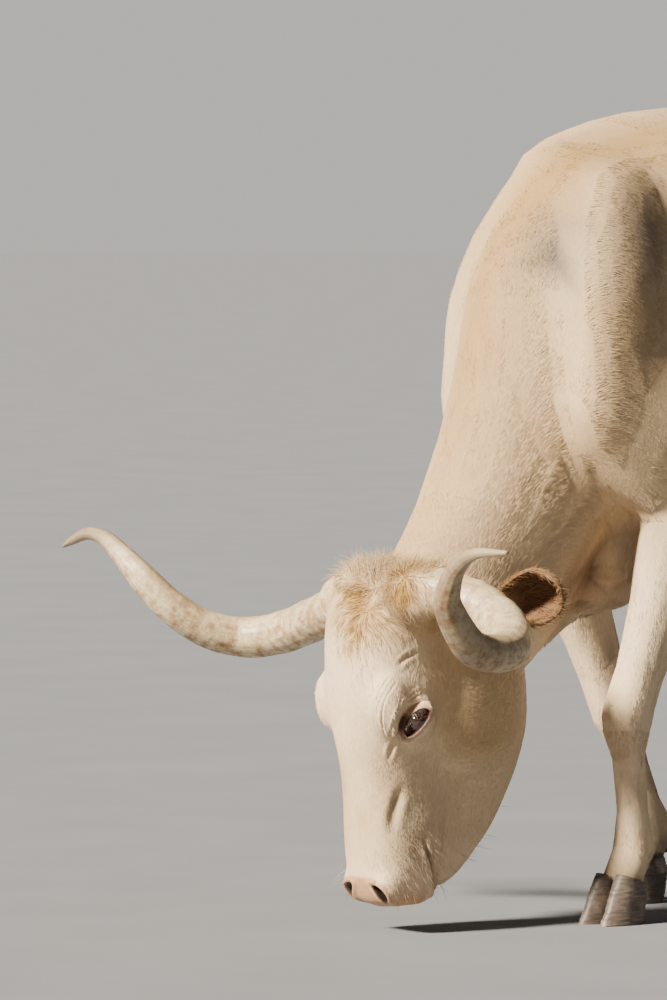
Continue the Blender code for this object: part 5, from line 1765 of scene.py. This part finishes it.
class Skin:
    """The skin's triangles, with everything that the coat needs at their corners."""

    def __init__(self, obj, colours, bare):
        obj.data.calc_loop_triangles()
        flat = np.empty(len(obj.data.loop_triangles) * 3, np.int32)
        obj.data.loop_triangles.foreach_get("vertices", flat)
        self.triangles = flat.reshape(-1, 3)
        self.points, self.normals = points_of(obj), normals_of(obj)
        self.lie = hair_lie(self.points, self.normals)
        self.length = hair_length(self.points)
        self.colours, self.bare = colours, bare
        a, b, c = (self.points[self.triangles[:, k]] for k in range(3))
        self.centres = (a + b + c) / 3
        self.area = np.linalg.norm(np.cross(b - a, c - a), axis=1) / 2
        self.region = coat_regions(self.centres)
        self.inside = ear_inside(self.centres, units(np.cross(b - a, c - a)))

    def sow(self, weights, count, rng):
        """Places, normals, lie, length, colour and bareness at random places."""
        chosen, shares = sown(weights * self.area, count, rng)
        corners = self.triangles[chosen]
        found = []
        for values in (self.points, self.normals, self.lie, self.length, self.colours, self.bare):
            weight = shares[:, :, None] if values.ndim == 2 else shares
            found.append((values[corners] * weight).sum(axis=1))
        return found


def short_coat(skin, name, number, finish):
    """Short tufts, each a thin closed wedge that lies along the coat and is shaded much as the skin."""
    rng = np.random.default_rng(SEED + number)
    weights = (skin.region == number) * np.clip(0.011 / skin.length[skin.triangles[:, 0]], 0.6, 2.4)
    points, normals, lie, length, colours, bare = skin.sow(weights, COAT[name][0], rng)
    kept = bare < 0.5
    points, normals, lie, length, colours = (v[kept] for v in (points, normals, lie, length, colours))
    count = len(points)
    normals, lie = units(normals), units(lie)
    turn = rng.normal(0, 0.12, count)[:, None]
    lie = units(lie * np.cos(turn) + np.cross(normals, lie) * np.sin(turn))
    side = np.cross(normals, lie)
    length = (length * rng.uniform(0.70, 1.25, count))[:, None]
    half = np.clip(0.070 * length, 0.0004, 0.0010) * rng.uniform(0.8, 1.25, (count, 1))
    lift = 0.036 * length * rng.uniform(0.4, 1.8, (count, 1))
    root = points - 0.0004 * normals
    corners = np.stack([root - 0.10 * length * lie + half * side, root - 0.10 * length * lie - half * side,
                        points + 0.22 * length * lie + (0.0003 + 0.25 * lift) * normals,
                        points + length * lie + lift * normals], axis=1)
    faces = np.array([(0, 2, 3), (1, 3, 2), (0, 3, 1), (0, 1, 2)])
    triangles = (np.arange(count)[:, None, None] * 4 + faces).reshape(-1, 3)
    obj = triangle_object(name, corners.reshape(-1, 3), triangles)
    shade = np.repeat(rng.random(count), 4)
    painted(obj, np.repeat(colours, 4, axis=0), {"tuft": shade, "tip": np.tile((0, 0, 0.3, 1), count)})
    patch = BAKE_PATCH * np.array([(-0.5, -0.5), (0.5, -0.5), (0, 0), (0, 0.5)])
    mapped(obj, triangles, (unwrapped(points, name)[:, None] + patch).reshape(-1, 2))
    shading = np.repeat(normals + 0.06 * rng.normal(size=(count, 3)) - 0.05 * lie, 4, axis=0)
    shading += 0.08 * np.tile([1, -1, 0, 0], count)[:, None] * np.repeat(side, 4, axis=0)
    finished(obj, finish)
    obj.data.normals_split_custom_set_from_vertices(units(shading).tolist())
    return obj


# Long hair

STRAND_SHAPE = (0.75, 1.0, 0.95, 0.80, 0.58, 0.34, 0.10)      # its width from root to tip
THIRDS = [k * 2 * math.pi / 3 for k in range(3)]


def strands(name, paths, half, colours, places, finish):
    """Closed, tapering, three-sided strands, each along its own path of points."""
    count, rows = paths.shape[:2]
    ahead = units(np.gradient(paths, axis=1).reshape(-1, 3)).reshape(paths.shape)
    side = units(np.cross(ahead, (0.31, 0.55, 0.78)).reshape(-1, 3)).reshape(paths.shape)
    other = np.cross(ahead, side)
    shape = np.interp(np.linspace(0, 1, rows), np.linspace(0, 1, len(STRAND_SHAPE)), STRAND_SHAPE)
    width = (half[:, None] * shape)[:, :, None]
    corners = [paths + width * (math.cos(a) * side + math.sin(a) * other) for a in THIRDS]
    corners = np.stack(corners, axis=2).reshape(count, rows * 3, 3)
    last = (rows - 1) * 3
    faces = [(0, 2, 1), (last, last + 1, last + 2)]
    for low in range(0, last, 3):
        for k in range(3):
            n = (k + 1) % 3
            faces += [(low + k, low + n, low + 3 + n), (low + k, low + 3 + n, low + 3 + k)]
    triangles = (np.arange(count)[:, None, None] * rows * 3 + np.array(faces)).reshape(-1, 3)
    obj = triangle_object(name, corners.reshape(-1, 3), triangles)
    rng = np.random.default_rng(SEED + len(name))
    along = np.repeat(np.linspace(0, 1, rows), 3)
    painted(obj, np.repeat(colours, rows * 3, axis=0),
            {"tuft": np.repeat(rng.random(count), rows * 3), "tip": np.tile(along, count)})
    spread = BAKE_PATCH * np.column_stack([np.tile((-0.5, 0, 0.5), rows), along - 0.5])
    mapped(obj, triangles, (places[:, None] + spread).reshape(-1, 2))
    return finished(obj, finish)


def grown_paths(points, ways, length, bend, rows, curl, rng):
    """Paths that leave along their ways and are drawn along the bend, with a little curl."""
    count = len(points)
    step = (length / (rows - 1))[:, None]
    way = units(ways)
    drift = rng.normal(0, curl, (count, 3))
    path = [points - 0.001 * way]
    for _ in range(rows - 1):
        drift = drift * 0.8 + rng.normal(0, curl * 0.5, (count, 3))
        way = units(way + bend + drift)
        path.append(path[-1] + step * way)
    return np.stack(path, axis=1)


def poll_hair(skin, finish):
    """Hair that falls from the parting over the brow and stands up along the poll."""
    rng = np.random.default_rng(SEED + 50)
    across, out, along = in_head(skin.centres).T
    on_poll = (skin.region == list(COAT).index("fur_head")) * bump(from_parting(skin.centres)[1], 0.050)
    crown = bump(np.hypot((across - 0.040) / 0.050, (out + 0.070) / 0.045), 1.0) * (along < 0.080)
    weights = 0.8 * on_poll + 1.3 * crown * (headness(skin.centres) > 0.0)
    points, normals, lie, _, colours, _ = skin.sow(weights, HAIRS["poll"], rng)
    colours = mixed(colours, TAN, 0.55 * rng.random(len(points)) ** 2)
    top = rise(0.080 - in_head(points)[:, 2], 0.0, 0.04)[:, None]
    sweep = 0.5 * np.array(UP) - 0.35 * np.array(HEAD_SIDE)
    clump = (0.5 * wavy(points, 0.018, 81))[:, None] * np.cross(normals, lie)
    ways = 0.22 * normals + lie * (1 - 0.45 * top) + 0.7 * top * sweep + clump
    length = (0.024 + 0.005 * top[:, 0]) * rng.uniform(0.5, 1.35, len(points))
    bend = 0.12 * lie * (1 - top) - 0.08 * normals * (1 - 0.6 * top)
    paths = grown_paths(points, ways, length, bend, 6, 0.11, rng)
    half = 0.00036 * rng.uniform(0.6, 1.5, len(points))
    return strands("poll_hair", paths, half, colours, unwrapped(points, "poll_hair"), finish)


def ear_hair(skin, finish):
    """Long hair inside the ears and along their rims."""
    rng = np.random.default_rng(SEED + 51)
    reach = ear_reach(skin.centres)
    inner = skin.inside * (reach > 0.10) * (1 - 0.75 * rise(reach, 0.65, 1.0))
    weights = 0.8 * inner + 0.30 * (reach > 0.15)
    points, normals, lie, _, colours, _ = skin.sow(weights, HAIRS["ear"], rng)
    count = len(points)
    warm = mixed(colours, EAR_HAIR, rng.uniform(0.1, 0.8, count))
    ways = lie + 0.22 * normals + rng.normal(0, 0.10, (count, 3))
    length = rng.uniform(0.010, 0.024, count)
    bend = np.tile(-0.05 * np.array(UP), (count, 1))
    paths = grown_paths(points, ways, length, bend, 5, 0.05, rng)
    half = 0.00042 * rng.uniform(0.7, 1.4, count)
    return strands("ear_hair", paths, half, warm, unwrapped(points, "ear_hair"), finish)


def lashes(finish):
    """Lashes that hang from the edge of the upper lid over the eye."""
    rng = np.random.default_rng(SEED + 52)
    starts, ways = [], []
    for side in (1, -1):
        slot, facing = head_vector(EYE_SLOT, side), head_vector(EYE_FACING, side)
        slot = unit(slot - facing * slot.dot(facing))
        lid_up = unit(slot.cross(facing)) * side
        centre = on_side(EYE, side)
        for share in np.linspace(-0.90, 0.62, HAIRS["lashes"]).tolist():
            length = share * LID_HALF + LID_SHIFT[0]
            height = LID_UP * (1 - abs(share) ** LID_POWER) ** (1 / LID_POWER) + LID_SHIFT[1] + 0.0004
            starts.append(centre + slot * length + lid_up * height + facing * float(lid_dome(length, height)))
            ways.append(0.8 * facing + 0.25 * share * slot - 0.35 * lid_up)
    count = len(starts)
    ways = np.array(ways) + rng.normal(0, 0.08, (count, 3))
    bend = np.tile(-0.28 * np.array(UP), (count, 1))
    paths = grown_paths(np.array(starts), ways, rng.uniform(0.011, 0.017, count), bend, 6, 0.02, rng)
    colours = mixed(np.tile(np.array(LASH_DARK), (count, 1)), LASH_PALE, rng.random(count) < 0.10)
    places = unwrapped(np.array(starts), "face_hair")
    return strands("lashes", paths, np.full(count, 0.00030), colours, places, finish)


def whiskers(skin, finish):
    """Long single hairs on lips and chin."""
    rng = np.random.default_rng(SEED + 54)
    across, out, along = in_head(skin.centres).T
    beside = np.abs(across)
    lips = bump(np.hypot((beside - 0.060) / 0.020, (along - 0.515) / 0.035), 1.0) * (out > -0.13)
    chin = bump(np.hypot(beside / 0.035, (along - 0.530) / 0.035), 1.0) * (out < -0.10)
    weights = (lips + 0.7 * chin) * (headness(skin.centres) > 0.1)
    points, normals, lie, _, colours, _ = skin.sow(weights, HAIRS["whiskers"], rng)
    count = len(points)
    shade = mixed(colours, LASH_DARK, rng.uniform(0.0, 0.8, count))
    ways = 0.8 * normals + 0.7 * lie + rng.normal(0, 0.12, (count, 3))
    bend = np.tile(-0.05 * np.array(UP), (count, 1))
    paths = grown_paths(points, ways, rng.uniform(0.012, 0.034, count), bend, 6, 0.03, rng)
    return strands("whiskers", paths, np.full(count, 0.00026), shade, unwrapped(points, "face_hair"), finish)


def switch(finish):
    """The tail's switch: long hair round its end, gathered in loose locks."""
    rng = np.random.default_rng(SEED + 53)
    line = spline(TAIL_LINE, 12)[:, :4]
    low = line[line[:, 2] < TAIL_LINE[-1][2] + SWITCH_RISE]
    count, rows, locks = HAIRS["switch"], 9, 34
    chosen = rng.integers(0, len(low), count)
    angle = rng.uniform(0, 2 * math.pi, count)
    away = np.column_stack([np.cos(angle), np.sin(angle), np.zeros(count)])
    points = low[chosen, :3] + away * (low[chosen, 3] * 0.9)[:, None]
    pull = rng.normal(0, 0.045, (locks, 3))[rng.integers(0, locks, count)] * (1, 1, 0.2)
    ways = np.array((0, 0, -1.0)) + 0.32 * away + pull
    length = points[:, 2] - TAIL_LINE[-1][2] + SWITCH_DROP * rng.uniform(0.45, 0.85, count)
    bend = -0.06 * away + 0.25 * pull + np.array((0, 0, -0.20))
    paths = grown_paths(points, ways, length, bend, rows, 0.022, rng)
    shade = mixed(np.tile(np.array(CREAM), (count, 1)), TAN, rng.uniform(0.05, 0.65, count))
    places = 0.01 + 0.98 * np.column_stack([angle / (2 * math.pi), rng.random(count)])
    half = 0.0011 * rng.uniform(0.7, 1.4, count)
    return strands("tail_switch_hair", paths, half, shade, places, finish)


def coat(obj, colours, bare):
    """All the pieces of hair, with their slots and the nodes that they stand for."""
    skin = Skin(obj, colours, bare)
    short, long = coat_material("short_hair", 0.91, 1.06), coat_material("long_hair", 0.80, 1.10)
    pieces = [(short_coat(skin, name, i, short), "hide", []) for i, name in enumerate(COAT)]
    for made in (poll_hair(skin, long), ear_hair(skin, long), lashes(long), whiskers(skin, long)):
        pieces.append((made, "hide", []))
    pieces.append((switch(long), "tail_hair", ["tail_switch"]))
    return pieces


# Stage

CAMERA_AWAY = 12.303
CAMERA_HEIGHT = 1.15
CAMERA_TURN = 1.71       # degrees to the left of the line to the withers
CAMERA_DIP = 2.23        # degrees below level
FOCAL_PIXELS = 7680
PICTURE_HEIGHT = 1000
SENSOR = 36.0
VIEW = Vector((-math.sqrt(0.5), math.sqrt(0.5), 0))
KEY_FROM = (-0.11, -0.81, 0.58)
KEY_ENERGY = 16.0
KEY_COLOUR = (1.0, 0.92, 0.79)
KEY_ANGLE = 9.0          # degrees that the key light is wide
HORIZON = (0.60, 0.573, 0.533)
ZENITH = (0.07, 0.085, 0.11)
FLOOR_REACH = 120.0
FLOOR_DARK = (0.171, 0.176, 0.185)
FLOOR_PALE = (0.187, 0.192, 0.201)


def camera(shift):
    data = bpy.data.cameras.new("camera")
    data.sensor_width = SENSOR
    data.lens = FOCAL_PIXELS / PICTURE_HEIGHT * SENSOR
    data.clip_end = 200
    obj = linked("camera", data)
    obj.location = shift + VIEW * -CAMERA_AWAY + UP * CAMERA_HEIGHT
    dip = math.radians(CAMERA_DIP)
    look = turned(VIEW, CAMERA_TURN) * math.cos(dip) - UP * math.sin(dip)
    obj.rotation_euler = look.to_track_quat("-Z", "Y").to_euler()
    bpy.context.scene.camera = obj


def stage():
    """A plain floor that meets a pale sky, and one soft key light."""
    corners = [(x * FLOOR_REACH, y * FLOOR_REACH, 0) for x, y in ((-1, -1), (1, -1), (1, 1), (-1, 1))]
    floor = mesh_object("floor", corners, [(0, 1, 2, 3)])
    made, tree, shader = new_material("floor", FLOOR_PALE, 0.9)
    speck = ramp(tree, noise(tree, place_of(tree), 3.0, 3, 0.5), (0.3, 0.7), (FLOOR_DARK, FLOOR_PALE))
    tree.links.new(speck, shader.inputs["Base Color"])
    floor.data.materials.append(made)
    world = bpy.data.worlds.new("studio")
    world.use_nodes = True
    tree = world.node_tree
    way = node(tree, "ShaderNodeTexCoord").outputs["Generated"]
    height = node(tree, "ShaderNodeSeparateXYZ", {0: way}).outputs["Z"]
    sky = ramp(tree, height, (0.028, 0.110), (HORIZON, ZENITH))
    tree.links.new(sky, tree.nodes["Background"].inputs["Color"])
    bpy.context.scene.world = world
    key = bpy.data.lights.new("key", "SUN")
    key.energy, key.color, key.angle = KEY_ENERGY, KEY_COLOUR, math.radians(KEY_ANGLE)
    linked("key", key).rotation_euler = (-Vector(KEY_FROM)).to_track_quat("-Z", "Y").to_euler()


# The whole animal

FLESH = ["head", "neck", "torso", "ear_left", "ear_right", "udder", "tail"]
FLESH += [f"leg_{level}_{foot}" for foot in LEGS for level in ("upper", "lower")]


def shown(obj, slot, *nodes):
    """A finished piece that moves with the body and stands for these nodes."""
    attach(obj, "root")
    if nodes:
        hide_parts(*nodes)


def main():
    low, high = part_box("eye_left")
    shift = (low + high) / 2 - on_head(*EYE)
    shift.z = 0
    skin = build_skin()
    thin_body(skin)
    eyes, nostrils, lips = ([on_side(place, side) for side in (1, -1)] for place in (EYE, NOSTRIL, LIP))
    for places, reach in ((eyes, 0.095), (nostrils + lips + [on_head(*CHIN)], 0.045),
                          (eyes, 0.062), (nostrils, 0.026)):
        refined(skin, places, reach)
    sculpt_body(skin)
    sculpt_head(skin)
    for side in (1, -1):
        sculpt_eye(skin, side)
        sculpt_nostril(skin, side)
    points, normals = points_of(skin), normals_of(skin)
    colours, bare = markings(points, normals), bareness(points)
    painted(skin, colours, {"bare": bare})
    finished(skin, hide_material())
    pieces = [(skin, "hide", FLESH)]
    pieces += coat(skin, colours, bare)
    hoof, wet = hoof_material(), eye_material()
    for word, side in (("left", 1), ("right", -1)):
        pieces.append((horn(word, side), "horn", ["horn_" + word]))
        pieces.append((eyeball(word, side, wet), "eye", ["eye_" + word]))
    for foot in LEGS:
        for word, side in (("inner", -1), ("outer", 1)):
            turn = side if foot.endswith("left") else -side
            for kind, made in (("claw", claw), ("dewclaw", dewclaw)):
                piece = made(f"{foot}_{word}_{kind}", foot, turn, hoof)
                pieces.append((piece, "hoof", [f"{kind}_{foot}_{word}"]))
    for obj, slot, nodes in pieces:
        obj.data.transform(Matrix.Translation(shift))
        shown(obj, slot, *nodes)
    camera(shift)
    stage()


main()
